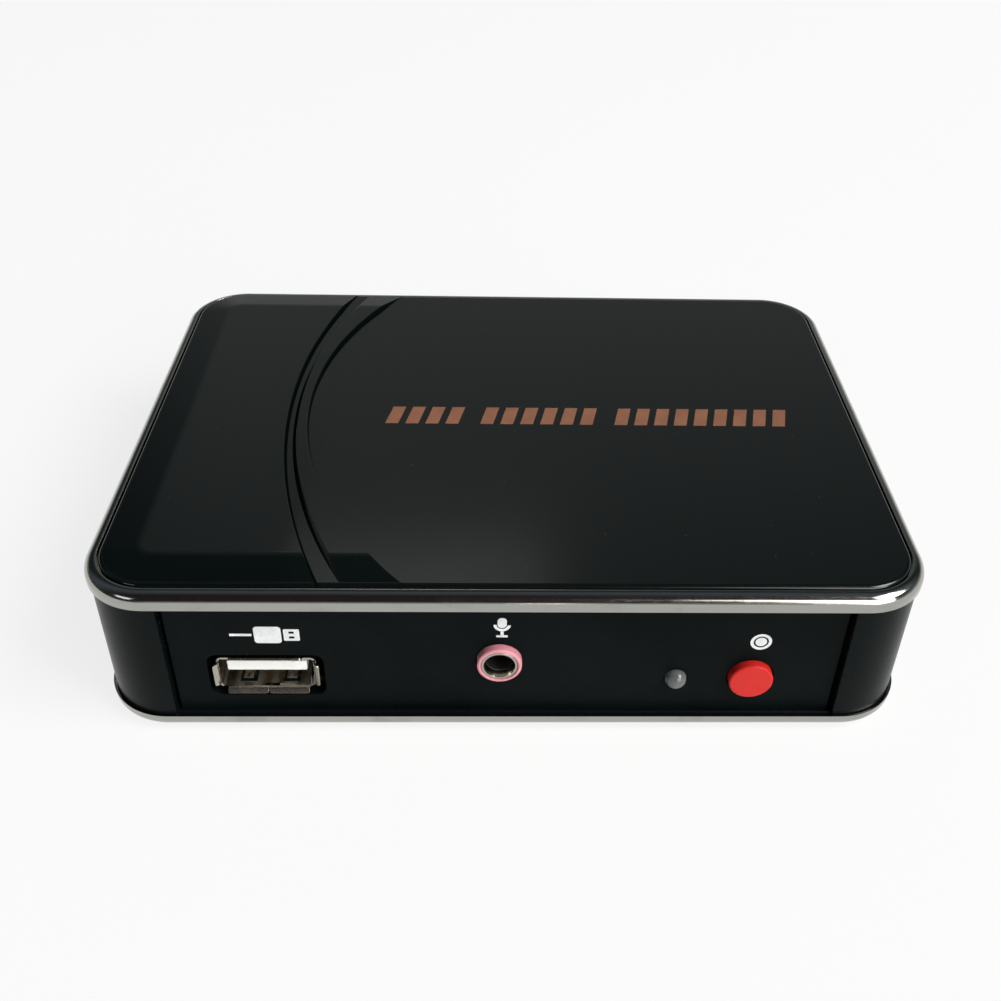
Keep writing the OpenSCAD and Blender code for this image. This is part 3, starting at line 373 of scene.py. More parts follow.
class StageSettings(bpy.types.PropertyGroup):
    """Floor, light and camera"""

    floor: colour("Floor", "Pale floor", 0.96, 0.96, 0.96)
    glow: FloatProperty(
        name="Floor glow", description="Share of plain white in the floor, for camera and reflections",
        default=0.8, min=0, max=1, subtype="FACTOR",
    )
    room_edge: colour("Room edge", "Light of the room near the horizon", 0.50, 0.50, 0.50)
    room_left: colour("Room left", "Light of the room near the horizon on the left", 0.05, 0.05, 0.05)
    room_front: colour("Room front", "Light of the room above the camera's side", 0.028, 0.022, 0.021)
    room_top: colour("Room top", "Light of the room overhead", 0.10, 0.115, 0.14)
    room_slope: colour("Room slope", "Light of the room between overhead and the far side", 0.02, 0.03, 0.03)
    room_rear: colour("Room rear", "Light of the room above the far side", 0.25, 0.265, 0.26)
    rear: PointerProperty(name="Rear soft box", type=RearSoftBox)
    left: PointerProperty(name="Left soft box", type=LeftSoftBox)
    right: PointerProperty(name="Right soft box", type=RightSoftBox)
    window: PointerProperty(name="Window soft box", type=WindowSoftBox)
    front: PointerProperty(name="Front soft box", type=FrontSoftBox)
    place: FloatVectorProperty(
        name="Camera place", description="Where the camera stands", subtype="TRANSLATION", unit="LENGTH",
        size=3, default=(-2.419 * MM, -148.283 * MM, 125.996 * MM),
    )
    turn: angle("Camera turn", "Turn of the camera to the right of straight ahead", 2.328)
    tilt: angle("Camera tilt", "Angle of the camera below the horizon", 36.152)
    lean: angle("Camera lean", "Lean of the camera about its own axis", 1.801)
    lens: FloatProperty(name="Lens", description="Focal length in camera millimetres", default=40.966)
    shift: FloatVectorProperty(
        name="Lens shift", description="Shift of the picture's centre", size=2, default=(-0.0288, -0.0420)
    )


class CaptureBoxSettings(bpy.types.PropertyGroup):
    """All settings of the capture box"""

    case: PointerProperty(name="Case", type=CaseSizes)
    trim: PointerProperty(name="Trim rings", type=TrimSizes)
    cover: PointerProperty(name="Cover", type=CoverSizes)
    sockets: PointerProperty(name="Sockets", type=SocketSizes)
    marks: PointerProperty(name="Marks", type=MarkSizes)
    colours: PointerProperty(name="Colours", type=FinishColours)
    stage: PointerProperty(name="Stage", type=StageSettings)


def settings():
    """The settings of the scene at hand."""
    return bpy.context.scene.capture_box


# Modelling steps

def start_clean():
    """Leaves edit mode and deselects everything."""
    if bpy.context.mode != "OBJECT":
        bpy.ops.object.mode_set(mode="OBJECT")
    bpy.ops.object.select_all(action="DESELECT")


def hold(piece):
    """Selects one piece alone."""
    start_clean()
    piece.select_set(True)
    bpy.context.view_layer.objects.active = piece
    return piece


def keep_new(name):
    """Names the primitive that was just added and moves its place into its mesh."""
    piece = bpy.context.object
    piece.name = name
    bpy.ops.object.transform_apply(location=True, rotation=True, scale=True)
    return piece


@contextmanager
def shaping(piece):
    """Edit mode on one piece."""
    hold(piece)
    bpy.ops.object.mode_set(mode="EDIT")
    yield
    bpy.ops.object.mode_set(mode="OBJECT")


def pick(piece, kind, test):
    """Selects, in edit mode, the faces or edges that pass the test."""
    bpy.ops.mesh.select_mode(type=kind)
    bpy.ops.mesh.select_all(action="DESELECT")
    mesh = bmesh.from_edit_mesh(piece.data)
    parts = mesh.faces if kind == "FACE" else mesh.edges
    found = [part for part in parts if test(part)]
    if not found:
        raise RuntimeError(f"{piece.name}: nothing to select")
    for part in found:
        part.select_set(True)
    bmesh.update_edit_mesh(piece.data)


def near(a, b):
    """Whether two lengths are the same."""
    return abs(a - b) < 5 * TINY


def upright(edge):
    """Edges that stand straight up."""
    a, b = (v.co for v in edge.verts)
    return near(a.x, b.x) and near(a.y, b.y)


def level(height):
    """Edges that lie at one height."""
    return lambda edge: all(near(v.co.z, height) for v in edge.verts)


def facing(direction, height=None):
    """Faces that look along a direction, at one height along it if that is given."""
    way = Vector(direction)

    def test(face):
        there = height is None or near(face.calc_center_median().dot(way), height)
        return there and face.normal.dot(way) > SAME_WAY

    return test


def rim(height):
    """Sharp edges that lie at one height."""
    return lambda edge: level(height)(edge) and edge.calc_face_angle(0) > SHARP


UP = (0, 0, 1)
DOWN = (0, 0, -1)


def bevel(piece, test, width, steps=4):
    """Rounds the edges that pass the test."""
    with shaping(piece):
        pick(piece, "EDGE", test)
        bpy.ops.mesh.bevel(
            offset=width, offset_type="OFFSET", segments=steps, affect="EDGES", clamp_overlap=False
        )
    return piece


def push(piece, test, inset, move):
    """Insets the faces that pass the test and extrudes them along a move."""
    with shaping(piece):
        pick(piece, "FACE", test)
        if inset:
            bpy.ops.mesh.inset(thickness=inset)
        bpy.ops.mesh.extrude_region_move(TRANSFORM_OT_translate={"value": move})
    return piece


def add_block(name, low, high):
    """Block between two corners."""
    start_clean()
    low, high = Vector(low), Vector(high)
    bpy.ops.mesh.primitive_cube_add(size=1, location=(low + high) / 2)
    bpy.context.object.scale = high - low
    return keep_new(name)


def add_slab(name, inset, low, high):
    """Slab of the box's outline, drawn in by inset, between two heights."""
    case = settings().case
    half = Vector((case.width / 2 - inset, case.depth / 2 - inset))
    piece = add_block(name, (-half.x, -half.y, low), (half.x, half.y, high))
    return bevel(piece, upright, case.corner - inset, CORNER_STEPS)


def face_outwards():
    """Turns the normals of the piece in edit mode outwards."""
    bpy.ops.mesh.select_all(action="SELECT")
    bpy.ops.mesh.normals_make_consistent(inside=False)


def add_turned(name, profile, steps=TURN_STEPS):
    """Turned piece about z: a disc whose face is drawn along the profile's points of radius and height."""
    start_clean()
    radius, height = profile[0]
    start = (0, 0, height)
    bpy.ops.mesh.primitive_circle_add(vertices=steps, radius=radius, fill_type="NGON", location=start)
    piece = keep_new(name)
    with shaping(piece):
        bpy.ops.mesh.select_mode(type="FACE")
        bpy.ops.mesh.select_all(action="SELECT")
        for next_radius, next_height in profile[1:]:
            move = (0, 0, next_height - height)
            bpy.ops.mesh.extrude_region_move(TRANSFORM_OT_translate={"value": move})
            grow = next_radius / radius
            bpy.ops.transform.resize(value=(grow, grow, 1))
            radius, height = next_radius, next_height
        face_outwards()
    return piece


def arc(radius, centre_radius, centre_height, start, stop, steps=8):
    """Points of a round stretch of a profile, by angles in degrees from the radius towards the height."""
    turns = [math.radians(start + (stop - start) * i / steps) for i in range(steps + 1)]
    return [(centre_radius + radius * math.cos(t), centre_height + radius * math.sin(t)) for t in turns]


def combine(piece, tool, operation):
    """Joins or cuts a piece with a tool piece, which is used up."""
    change = piece.modifiers.new(tool.name, "BOOLEAN")
    change.operation = operation
    change.solver = "EXACT"
    change.object = tool
    hold(piece)
    bpy.ops.object.modifier_apply(modifier=change.name)
    bpy.data.objects.remove(tool)
    return piece


def fuse(piece, *tools):
    """Joins a piece with its tools."""
    for tool in tools:
        combine(piece, tool, "UNION")
    return piece


def cut(piece, *tools):
    """Cuts the tools out of a piece."""
    for tool in tools:
        combine(piece, tool, "DIFFERENCE")
    return piece


def copy_piece(piece, name):
    """Copy of a piece with a mesh of its own."""
    hold(piece)
    bpy.ops.object.duplicate()
    copy = bpy.context.object
    copy.name = name
    return copy


def join(piece, *others):
    """Makes several pieces one object."""
    hold(piece)
    for other in others:
        other.select_set(True)
    bpy.ops.object.join()
    return piece


def copies(piece, places):
    """A piece at the first place, joined with copies of it at the others."""
    others = [put(copy_piece(piece, piece.name), Matrix.Translation(place)) for place in places[1:]]
    return join(put(piece, Matrix.Translation(places[0])), *others)


def soften(piece, width, steps=2):
    """Rounds every sharp edge a little."""
    change = piece.modifiers.new("Soft edges", "BEVEL")
    change.width = width
    change.segments = steps
    change.limit_method = "ANGLE"
    change.angle_limit = ROUNDED
    change.use_clamp_overlap = False
    hold(piece)
    bpy.ops.object.modifier_apply(modifier=change.name)
    return piece


def soft_copy(node, name, width):
    """Copy of a construction node, merged, with its sharp edges rounded."""
    piece = frame["nodes"][node].copy()
    piece.data = piece.data.copy()
    piece.parent = None
    piece.name = name
    for key in list(piece.keys()):
        del piece[key]
    bpy.context.scene.collection.objects.link(piece)
    with shaping(piece):
        bpy.ops.mesh.select_all(action="SELECT")
        bpy.ops.mesh.remove_doubles(threshold=TINY)
        bpy.ops.mesh.dissolve_limited(angle_limit=FLAT)
    return soften(piece, width)


def put(piece, matrix):
    """Moves a piece to its place, which goes into its mesh."""
    hold(piece)
    piece.matrix_world = matrix
    bpy.ops.object.transform_apply(location=True, rotation=True, scale=True)
    return piece


def at_front(x, z):
    """Place in the front panel's face: the piece's z points out of the box and its y up."""
    return Matrix.Translation((x, -PANEL_FACE, z)) @ Matrix.Rotation(math.radians(90), 4, "X")


def at_rear(x, z):
    """Place in the rear panel's face, in the same way."""
    turned = Matrix.Rotation(math.radians(180), 4, "Z") @ Matrix.Rotation(math.radians(90), 4, "X")
    return Matrix.Translation((x, PANEL_FACE, z)) @ turned


def four_corners(x, y):
    """Places at the same distances from the middle in all four corners."""
    return [Vector((sx * x, sy * y, 0)) for sx in (-1, 1) for sy in (-1, 1)]


def joint_place(case):
    """Distance of the panel joints from the middle."""
    return case.width / 2 - case.corner - case.joint_flat


def data_mouth(k):
    """Depth of the data socket's mouth, outwards positive."""
    return -k.mouth_back


def outer_places(node, radius):
    """Places of the four round pieces of a node, the same on both sides of the middle."""
    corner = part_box(node)[1]
    return four_corners(corner.x - radius, corner.y - radius)


def screw_places():
    """Places of the case screws."""
    return outer_places("case_screws", settings().case.screw_head)


def foot_places():
    """Places of the rubber feet."""
    return outer_places("rubber_feet", settings().case.foot)


def standoff_places():
    """Places of the board screws."""
    low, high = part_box("board_screws")
    head = BOARD_SCREW_HEAD
    across, along = (low.x + head, high.x - head), (low.y + head, high.y - head)
    return [Vector((x, y, 0)) for x in across for y in along]


def dress(piece, finish, body="box", stands_for=(), smooth=30):
    """Last step of a piece: shading, finish and the body that it rides on."""
    hold(piece)
    piece.data.materials.clear()
    piece.data.materials.append(finish)
    bpy.ops.object.shade_smooth_by_angle(angle=math.radians(smooth))
    normals = piece.modifiers.new("Normals", "WEIGHTED_NORMAL")
    normals.keep_sharp = True
    bpy.ops.object.modifier_apply(modifier=normals.name)
    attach(piece, body)
    if stands_for:
        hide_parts(*stands_for)
    return piece


# Finishes

class Signal:
    """Output of a shader node. Arithmetic on it adds Math nodes."""

    def __init__(self, finish, socket):
        self.finish = finish
        self.socket = socket

    def math(self, operation, *values):
        return self.finish.node("ShaderNodeMath", {"operation": operation}, dict(enumerate(values)))

    def __add__(self, other):
        return self.math("ADD", self, other)

    def __radd__(self, other):
        return self.math("ADD", other, self)

    def __sub__(self, other):
        return self.math("SUBTRACT", self, other)

    def __rsub__(self, other):
        return self.math("SUBTRACT", other, self)

    def __mul__(self, other):
        return self.math("MULTIPLY", self, other)

    def __rmul__(self, other):
        return self.math("MULTIPLY", other, self)

    def rises(self, low, high):
        """Smooth step from 0 below low to 1 above high."""
        return self.finish.node(
            "ShaderNodeMapRange", {"interpolation_type": "SMOOTHSTEP"},
            {0: self, 1: low, 2: high, 3: 0.0, 4: 1.0},
        )


class Nodes:
    """A node tree in the making."""

    def __init__(self, tree):
        self.tree = tree

    def node(self, kind, settings=None, inputs=None, output=0):
        """Adds a node: its settings first, then the values or links of its sockets."""
        made = self.tree.nodes.new(kind)
        for key, value in (settings or {}).items():
            setattr(made, key, value)
        for key, value in (inputs or {}).items():
            self.plug(made.inputs[key], value)
        return Signal(self, made.outputs[output])

    def plug(self, socket, value):
        """Links a signal to a socket or sets the socket's value."""
        if isinstance(value, Signal):
            self.tree.links.new(value.socket, socket)
        elif socket.type == "RGBA":
            socket.default_value = (*value, 1)
        else:
            socket.default_value = value

    def mix(self, share, first, second):
        """Colour between two colours."""
        return self.node("ShaderNodeMix", {"data_type": "RGBA"}, {0: share, 6: first, 7: second}, output=2)


class Finish(Nodes):
    """A material in the making, on the object's own coordinates."""

    def __init__(self, name):
        self.material = bpy.data.materials.new(name)
        self.material.use_nodes = True
        super().__init__(self.material.node_tree)
        self.shader = self.tree.nodes["Principled BSDF"]
        self.place = self.node("ShaderNodeTexCoord", output="Object")

    def stretched(self, x, y, z):
        """Coordinates scaled along each axis, for streaks."""
        return self.node("ShaderNodeMapping", None, {"Vector": self.place, "Scale": (x, y, z)})

    def noise(self, size, detail=2.0, place=None):
        """Cloudy noise from 0 to 1 with features of about that size."""
        return self.node(
            "ShaderNodeTexNoise", None,
            {"Vector": place or self.place, "Scale": 1 / size, "Detail": detail, "Roughness": 0.55},
        )

    def specks(self, size, radius):
        """Small dots, 1 inside and 0 outside, at about that distance from each other."""
        near_dot = self.node("ShaderNodeTexVoronoi", None, {"Vector": self.place, "Scale": 1 / size})
        return 1 - near_dot.rises(radius * 0.6 / size, radius / size)

    def axis(self, name):
        """One of the object's coordinates, in metres."""
        return self.node("ShaderNodeSeparateXYZ", None, {0: self.place}, output=name)

    def bump(self, height, distance, strength=1.0):
        """Relief of that depth, from a height between 0 and 1."""
        inputs = {"Height": height, "Distance": distance, "Strength": strength}
        return self.node("ShaderNodeBump", None, inputs)

    def done(self, **sockets):
        """Sets the shader's sockets, named with underscores, and gives the material."""
        for name, value in sockets.items():
            self.plug(self.shader.inputs[name.replace("_", " ")], value)
        return self.material

    def over(self, share, shader):
        """Lays a second shader over the first by a share, and gives the material."""
        first = Signal(self, self.shader.outputs[0])
        mixed = self.node("ShaderNodeMixShader", None, {0: share, 1: first, 2: shader})
        self.plug(self.tree.nodes["Material Output"].inputs["Surface"], mixed)
        return self.material


def shade(base, factor):
    """A darker or lighter version of a colour."""
    return tuple(min(1.0, c * factor) for c in base)


def cover_finish():
    """Gloss black: polished pad on the left, satin field on the right, painted shade lines in matte black at
    the foot of two arcs.
    """
    colours, cover = settings().colours, settings().cover
    f = Finish("cover_gloss_black")
    smudge = f.noise(22 * MM, 3)
    grain = f.noise(0.22 * MM, 1)
    field = f.axis("X").rises(-31 * MM, -27 * MM)
    dust = f.specks(2.3 * MM, 0.07 * MM) * f.noise(14 * MM).rises(0.38, 0.6)
    rough = 0.05 + 0.05 * smudge + field * (0.07 + 0.05 * grain)
    f.done(
        Base_Color=f.mix(dust * 0.5, colours.cover, colours.dust),
        Roughness=rough + dust * 0.3,
        Normal=f.bump(grain * field, 0.0025 * MM),
        IOR=1.5,
    )
    # Painted shade: matte black lines at the foot of the groove and of the ridge's inner wall stand in for
    # the shade deep in those creases.
    groove, _, inner = arc_lefts()
    broad_shade, fine_shade = 0.2 * MM, 0.11 * MM
    foot = arc_foot_shade(f, groove, cover.groove_radius, broad_shade)
    foot = foot + 0.7 * arc_foot_shade(f, inner, cover.field_radius, fine_shade)
    return f.over(foot, f.node("ShaderNodeBsdfDiffuse", None, {"Color": tuple(colours.cover)}))


def arc_foot_shade(f, left, radius, width):
    """Painted shade line at the foot of one of the cover's arcs, where the crease lies in shade, as a share
    from 0 to 1.
    """
    def vector(operation, first, second, output):
        return f.node("ShaderNodeVectorMath", {"operation": operation}, {0: first, 1: second}, output=output)

    centre = (left + radius, settings().cover.arc_shift, 0)
    away = vector("DISTANCE", vector("MULTIPLY", f.place, (1, 1, 0), "Vector"), centre, "Value")
    inside = away.rises(radius - 1.3 * width, radius - 0.7 * width)
    outside = away.rises(radius + 0.7 * width, radius + width)
    return inside * (1 - outside)


def trim_finish():
    """Bright plating with a slightly wavy skin and a thin film of wear."""
    colours = settings().colours
    f = Finish("trim_bright_plating")
    wave = f.noise(9 * MM, 1)
    fine = f.noise(0.9 * MM, 3)
    stain = f.noise(5 * MM, 4).rises(0.5, 0.75)
    return f.done(
        Base_Color=f.mix(stain * 0.5, colours.trim, shade(colours.trim, 0.72)),
        Metallic=1.0,
        Roughness=0.10 + 0.07 * fine + 0.05 * stain,
        Normal=f.bump(wave + 0.06 * fine, 0.12 * MM, 0.6),
    )


def wall_finish():
    """Half-gloss black with a faint orange peel."""
    colours = settings().colours
    f = Finish("wall_half_gloss_black")
    peel = f.noise(0.8 * MM, 2)
    smudge = f.noise(11 * MM, 3)
    dust = f.specks(4.3 * MM, 0.06 * MM)
    return f.done(
        Base_Color=f.mix(dust * 0.4, colours.wall, colours.dust),
        Roughness=0.20 + 0.10 * smudge + 0.05 * peel,
        Normal=f.bump(peel, 0.006 * MM),
        Specular_IOR_Level=0.055,
    )


def panel_finish():
    """Black moulding with a fine leathery grain."""
    colours = settings().colours
    f = Finish("panel_grained_black")
    grain = f.noise(0.55 * MM, 3)
    pits = f.specks(1.1 * MM, 0.16 * MM)
    broad = f.noise(16 * MM, 2)
    return f.done(
        Base_Color=f.mix(broad.rises(0.35, 0.7), colours.panel, shade(colours.panel, 1.5)),
        Roughness=0.34 + 0.16 * grain,
        Normal=f.bump(grain - 0.35 * pits, 0.035 * MM),
        Specular_IOR_Level=0.04,
    )


def plain_plastic(name, base, size, rough, depth, **more):
    """Moulded plastic with a soft mottle and a fine surface."""
    f = Finish(name)
    mottle = f.noise(size, 3)
    fine = f.noise(size / 6, 2)
    return f.done(
        Base_Color=f.mix(mottle, shade(base, 0.9), shade(base, 1.06)),
        Roughness=rough - 0.06 + 0.12 * fine,
        Normal=f.bump(fine, depth),
        **more,
    )


def plain_metal(name, base, rough, streak=(1, 1, 1), size=0.6):
    """Plated or bare metal with fine streaks and dull patches."""
    f = Finish(name)
    lines = f.noise(size * MM, 3, f.stretched(*streak))
    patch = f.noise(3.5 * MM, 3).rises(0.55, 0.8)
    return f.done(
        Base_Color=f.mix(patch * 0.6, base, shade(base, 0.8)),
        Metallic=1.0,
        Roughness=rough - 0.05 + 0.1 * lines + 0.08 * patch,
        Normal=f.bump(lines, 0.006 * MM),
    )


def sleeve_finish():
    """Polished metal at the mouth of the jack; further in, painted shade: near-black, dull and not metallic,
    for the shade inside the bore.
    """
    base, sockets = settings().colours.nickel, settings().sockets
    front = -PANEL_FACE - sockets.collar_out
    f = Finish("sleeve_metal")
    # Painted shade: past the first millimetre of the mouth the sleeve turns near-black, for the shade deep in
    # the bore.
    depth = f.axis("Y").rises(front + 1.0 * MM, front + 1.2 * MM)
    fine = f.noise(0.5 * MM, 3)
    bright = f.mix(fine, shade(base, 0.8), shade(base, 1.1))
    return f.done(
        Base_Color=f.mix(depth, bright, (0.008, 0.008, 0.007)),
        Metallic=1 - depth,
        Roughness=0.14 + 0.06 * fine + 0.4 * depth,
        Normal=f.bump(fine, 0.004 * MM),
    )


def rubber_finish():
    """Soft black rubber with some dust on it."""
    f = Finish("foot_soft_rubber")
    fine = f.noise(0.3 * MM, 3)
    dusty = f.noise(4 * MM, 3).rises(0.4, 0.8)
    return f.done(
        Base_Color=f.mix(dusty * 0.5, (0.012, 0.012, 0.012), (0.045, 0.044, 0.042)),
        Roughness=0.75 + 0.15 * fine,
        Normal=f.bump(fine, 0.03 * MM),
    )


def board_finish():
    """Green solder mask over a faint pattern of tracks."""
    base = settings().colours.board
    f = Finish("board_solder_mask")
    tracks = f.node(
        "ShaderNodeTexBrick", {"offset": 0.37},
        {"Vector": f.place, "Scale": 260.0, "Mortar Size": 0.09, "Mortar Smooth": 0.2, "Brick Width": 1.7,
         "Row Height": 0.32}, output="Fac",
    )
    return f.done(
        Base_Color=f.mix(tracks, base, shade(base, 1.9)),
        Roughness=0.32 + 0.1 * f.noise(1.2 * MM),
        Normal=f.bump(tracks, 0.03 * MM),
    )


def lens_finish():
    """Clear grey epoxy, cloudy inside."""
    base = settings().colours.lens
    f = Finish("lens_grey_epoxy")
    cloud = f.noise(1.1 * MM, 2)
    return f.done(
        Base_Color=f.mix(cloud, shade(base, 0.8), shade(base, 1.15)),
        Roughness=0.04 + 0.03 * cloud,
        Transmission_Weight=0.15,
        IOR=1.5,
    )


def ink_finish(name, base, patch):
    """Screen-printed ink, a little uneven."""
    f = Finish(name)
    thin = f.noise(patch, 3)
    return f.done(
        Base_Color=f.mix(thin.rises(0.3, 0.75), shade(base, 0.8), base),
        Roughness=0.42 + 0.2 * thin,
        Normal=f.bump(f.noise(patch / 8), 0.01 * MM),
    )


def make_finishes():
    """One finish for each slot of the record, one for the jack's sleeve, and the two inks."""
    c = settings().colours
    along_depth = (6, 0.6, 6)
    return {
        "cover": cover_finish(),
        "trim": trim_finish(),
        "case": wall_finish(),
        "panel": panel_finish(),
        "rubber": rubber_finish(),
        "steel": plain_metal("plated_steel", (0.55, 0.54, 0.52), 0.3),
        "board": board_finish(),
        "chip": plain_plastic("black_moulding_compound", (0.018, 0.018, 0.018), 0.5 * MM, 0.55, 0.01 * MM),
        "thermal": plain_plastic("grey_thermal_pad", (0.33, 0.38, 0.42), 0.8 * MM, 0.8, 0.03 * MM),
        "heat_sink": plain_metal("bare_aluminium", (0.62, 0.63, 0.64), 0.36, along_depth, 0.9),
        "ferrite": plain_plastic("dark_ferrite", (0.07, 0.07, 0.066), 0.4 * MM, 0.6, 0.02 * MM),
        "socket_metal": plain_metal("nickel_sheet", tuple(c.nickel), 0.26, along_depth),
        "sleeve_metal": sleeve_finish(),
        "white_plastic": plain_plastic("white_moulding", tuple(c.white), 1.4 * MM, 0.45, 0.006 * MM),
        "contact": plain_metal("gold_contact", tuple(c.gold), 0.28),
        "pink_plastic": plain_plastic("pink_moulding", tuple(c.pink), 1.3 * MM, 0.4, 0.008 * MM),
        "red_plastic": plain_plastic(
            "red_moulding", tuple(c.red), 1.8 * MM, 0.42, 0.008 * MM, Specular_IOR_Level=0.2
        ),
        "lens": lens_finish(),
        "white_ink": ink_finish("white_ink", tuple(c.ink), 1.5 * MM),
        "copper_ink": ink_finish("copper_ink", tuple(c.copper), 2.4 * MM),
    }


FINISHES = {}


def finish(slot):
    """The finish of a slot; all of them are made at the first call."""
    if not FINISHES:
        FINISHES.update(make_finishes())
    return FINISHES[slot]


# Pieces

class PieceOperator:
    """What the operators share."""

    bl_options = {"REGISTER", "UNDO"}

    def execute(self, context):
        self.build(context.scene.capture_box)
        return {"FINISHED"}


def z_field():
    """Height of the cover's flat field."""
    return Z_PAD - settings().cover.pad_height


def z_rim():
    """Height at which the lower ring narrows to its rim."""
    return Z_BASE + settings().trim.bottom_fillet + settings().case.fit


def cover_inset():
    """Inset of the cover's outline from the trim ring."""
    trim = settings().trim
    return trim.top_fillet + trim.crest + settings().case.fit


def dressed_copy(node, name, slot, width):
    """Copy of a construction node with its edges rounded, in the finish of its slot."""
    return dress(soft_copy(node, name, width), finish(slot), stands_for=[node])


def arc_lefts():
    """Leftmost places of the groove's outer wall and of the ridge's outer and inner walls."""
    cover = settings().cover
    groove = cover.groove_inset - settings().case.width / 2
    ridge = groove + cover.groove_width
    return groove, ridge, ridge + cover.ridge_width


def add_pad(name):
    """Pad with sloping borders over the whole cover, with a root that sinks into the plate."""
    cover = settings().cover
    root, ledge = 0.4 * MM, 0.02 * MM
    foot_inset = cover_inset() + cover.roll + ledge
    pad = add_slab(name, foot_inset, z_field() - root, z_field())
    with shaping(pad):
        pick(pad, "FACE", facing(UP))
        bpy.ops.mesh.inset(thickness=cover.pad_run, depth=cover.pad_height)
    return bevel(pad, level(Z_PAD), cover.pad_round)


def add_arc_cone(name, left, radius, lean):
    """Cone of one of the cover's arcs: its leftmost place at the field, its radius there and its lean."""
    cover = settings().cover
    low, high = z_field() - OVER, Z_PAD + OVER
    slope = lean / cover.pad_height
    low_radius, high_radius = (radius + slope * (z - z_field()) for z in (low, high))
    start_clean()
    bpy.ops.mesh.primitive_cone_add(
        vertices=ARC_STEPS, radius1=low_radius, radius2=high_radius, depth=high - low,
        location=(left + radius, cover.arc_shift, (low + high) / 2),
    )
    return keep_new(name)


def is_crest(edge):
    """Edges between the top of the pad or ridge and one of their steep walls."""
    if len(edge.link_faces) != 2:
        return False
    overhang, steep, flat = 0.05, 0.8, 0.95
    low, high = sorted(face.normal.z for face in edge.link_faces)
    return overhang < low < steep and high > flat


class AddCover(PieceOperator, bpy.types.Operator):
    """Add the gloss cover with its rolled edge, raised pad, groove and ridge"""

    bl_idname = "capture_box.add_cover"
    bl_label = "Cover"

    def build(self, s):
        cover, trim, fit = s.cover, s.trim, s.case.fit
        seat = Z_WALL_HEAD + trim.flange
        under = z_field() - cover.thick
        shell = add_slab("cover_shell", cover_inset(), seat, z_field())
        bevel(shell, level(z_field()), cover.roll, ROLL_STEPS)
        plug = trim.reach + fit - cover_inset()
        push(shell, facing(DOWN, -seat), plug, (0, 0, under - seat))
        skirt_inset = s.case.depth / 2 - PANEL_FACE + PANEL_THICK + cover.skirt_gap
        push(shell, facing(DOWN, -under), skirt_inset - trim.reach - fit, (0, 0, -cover.skirt_depth))
        push(shell, facing(DOWN, cover.skirt_depth - under), cover.skirt, (0, 0, cover.skirt_depth))
        boss = add_turned("boss", [
            (cover.boss, under + fit), (cover.boss, Z_POST),
            (cover.pilot, Z_POST), (cover.pilot, Z_POST + cover.grip),
        ])
        fuse(shell, copies(boss, screw_places()))
        groove, ridge, field = arc_lefts()
        pad = cut(add_pad("pad"), add_arc_cone("groove", groove, cover.groove_radius, cover.groove_run))
        bevel(pad, is_crest, cover.crest_round, 3)
        rib = add_pad("ridge")
        combine(rib, add_arc_cone("ridge_side", ridge, cover.ridge_radius, -cover.ridge_run), "INTERSECT")
        cut(rib, add_arc_cone("field", field, cover.field_radius, cover.field_run))
        bevel(rib, is_crest, cover.crest_round, 3)
        fuse(shell, pad, rib)
        dress(shell, finish("cover"), stands_for=["top_cover"], smooth=5)


class AddTrim(PieceOperator, bpy.types.Operator):
    """Add the two bright trim rings"""

    bl_idname = "capture_box.add_trim"
    bl_label = "Trim rings"

    def build(self, s):
        trim = s.trim
        top = add_slab("top_trim_band", 0, Z_WALL_HEAD, Z_RING)
        bevel(top, level(Z_RING), trim.top_fillet, ROLL_STEPS)
        push(top, facing(UP, Z_RING), trim.crest, (0, 0, Z_WALL_HEAD + trim.flange - Z_RING))
        bevel(top, rim(Z_RING), trim.crest_round, 3)
        cut(top, add_slab("hole", trim.reach, Z_WALL_HEAD - OVER, Z_RING + OVER))
        dress(top, finish("trim"), stands_for=["top_trim_ring"], smooth=20)
        low = add_slab("bottom_trim_band", 0, Z_BASE, Z_WALL_FOOT)
        bevel(low, level(Z_BASE), trim.bottom_fillet, ROLL_STEPS)
        push(low, facing(UP, Z_WALL_FOOT), trim.rim, (0, 0, z_rim() - Z_WALL_FOOT))
        push(low, facing(UP, z_rim()), trim.bottom_fillet - trim.rim, (0, 0, Z_BASE + trim.flange - z_rim()))
        cut(low, add_slab("hole", trim.reach, Z_BASE - OVER, Z_WALL_FOOT + OVER))
        dress(low, finish("trim"), stands_for=["bottom_trim_ring"], smooth=20)


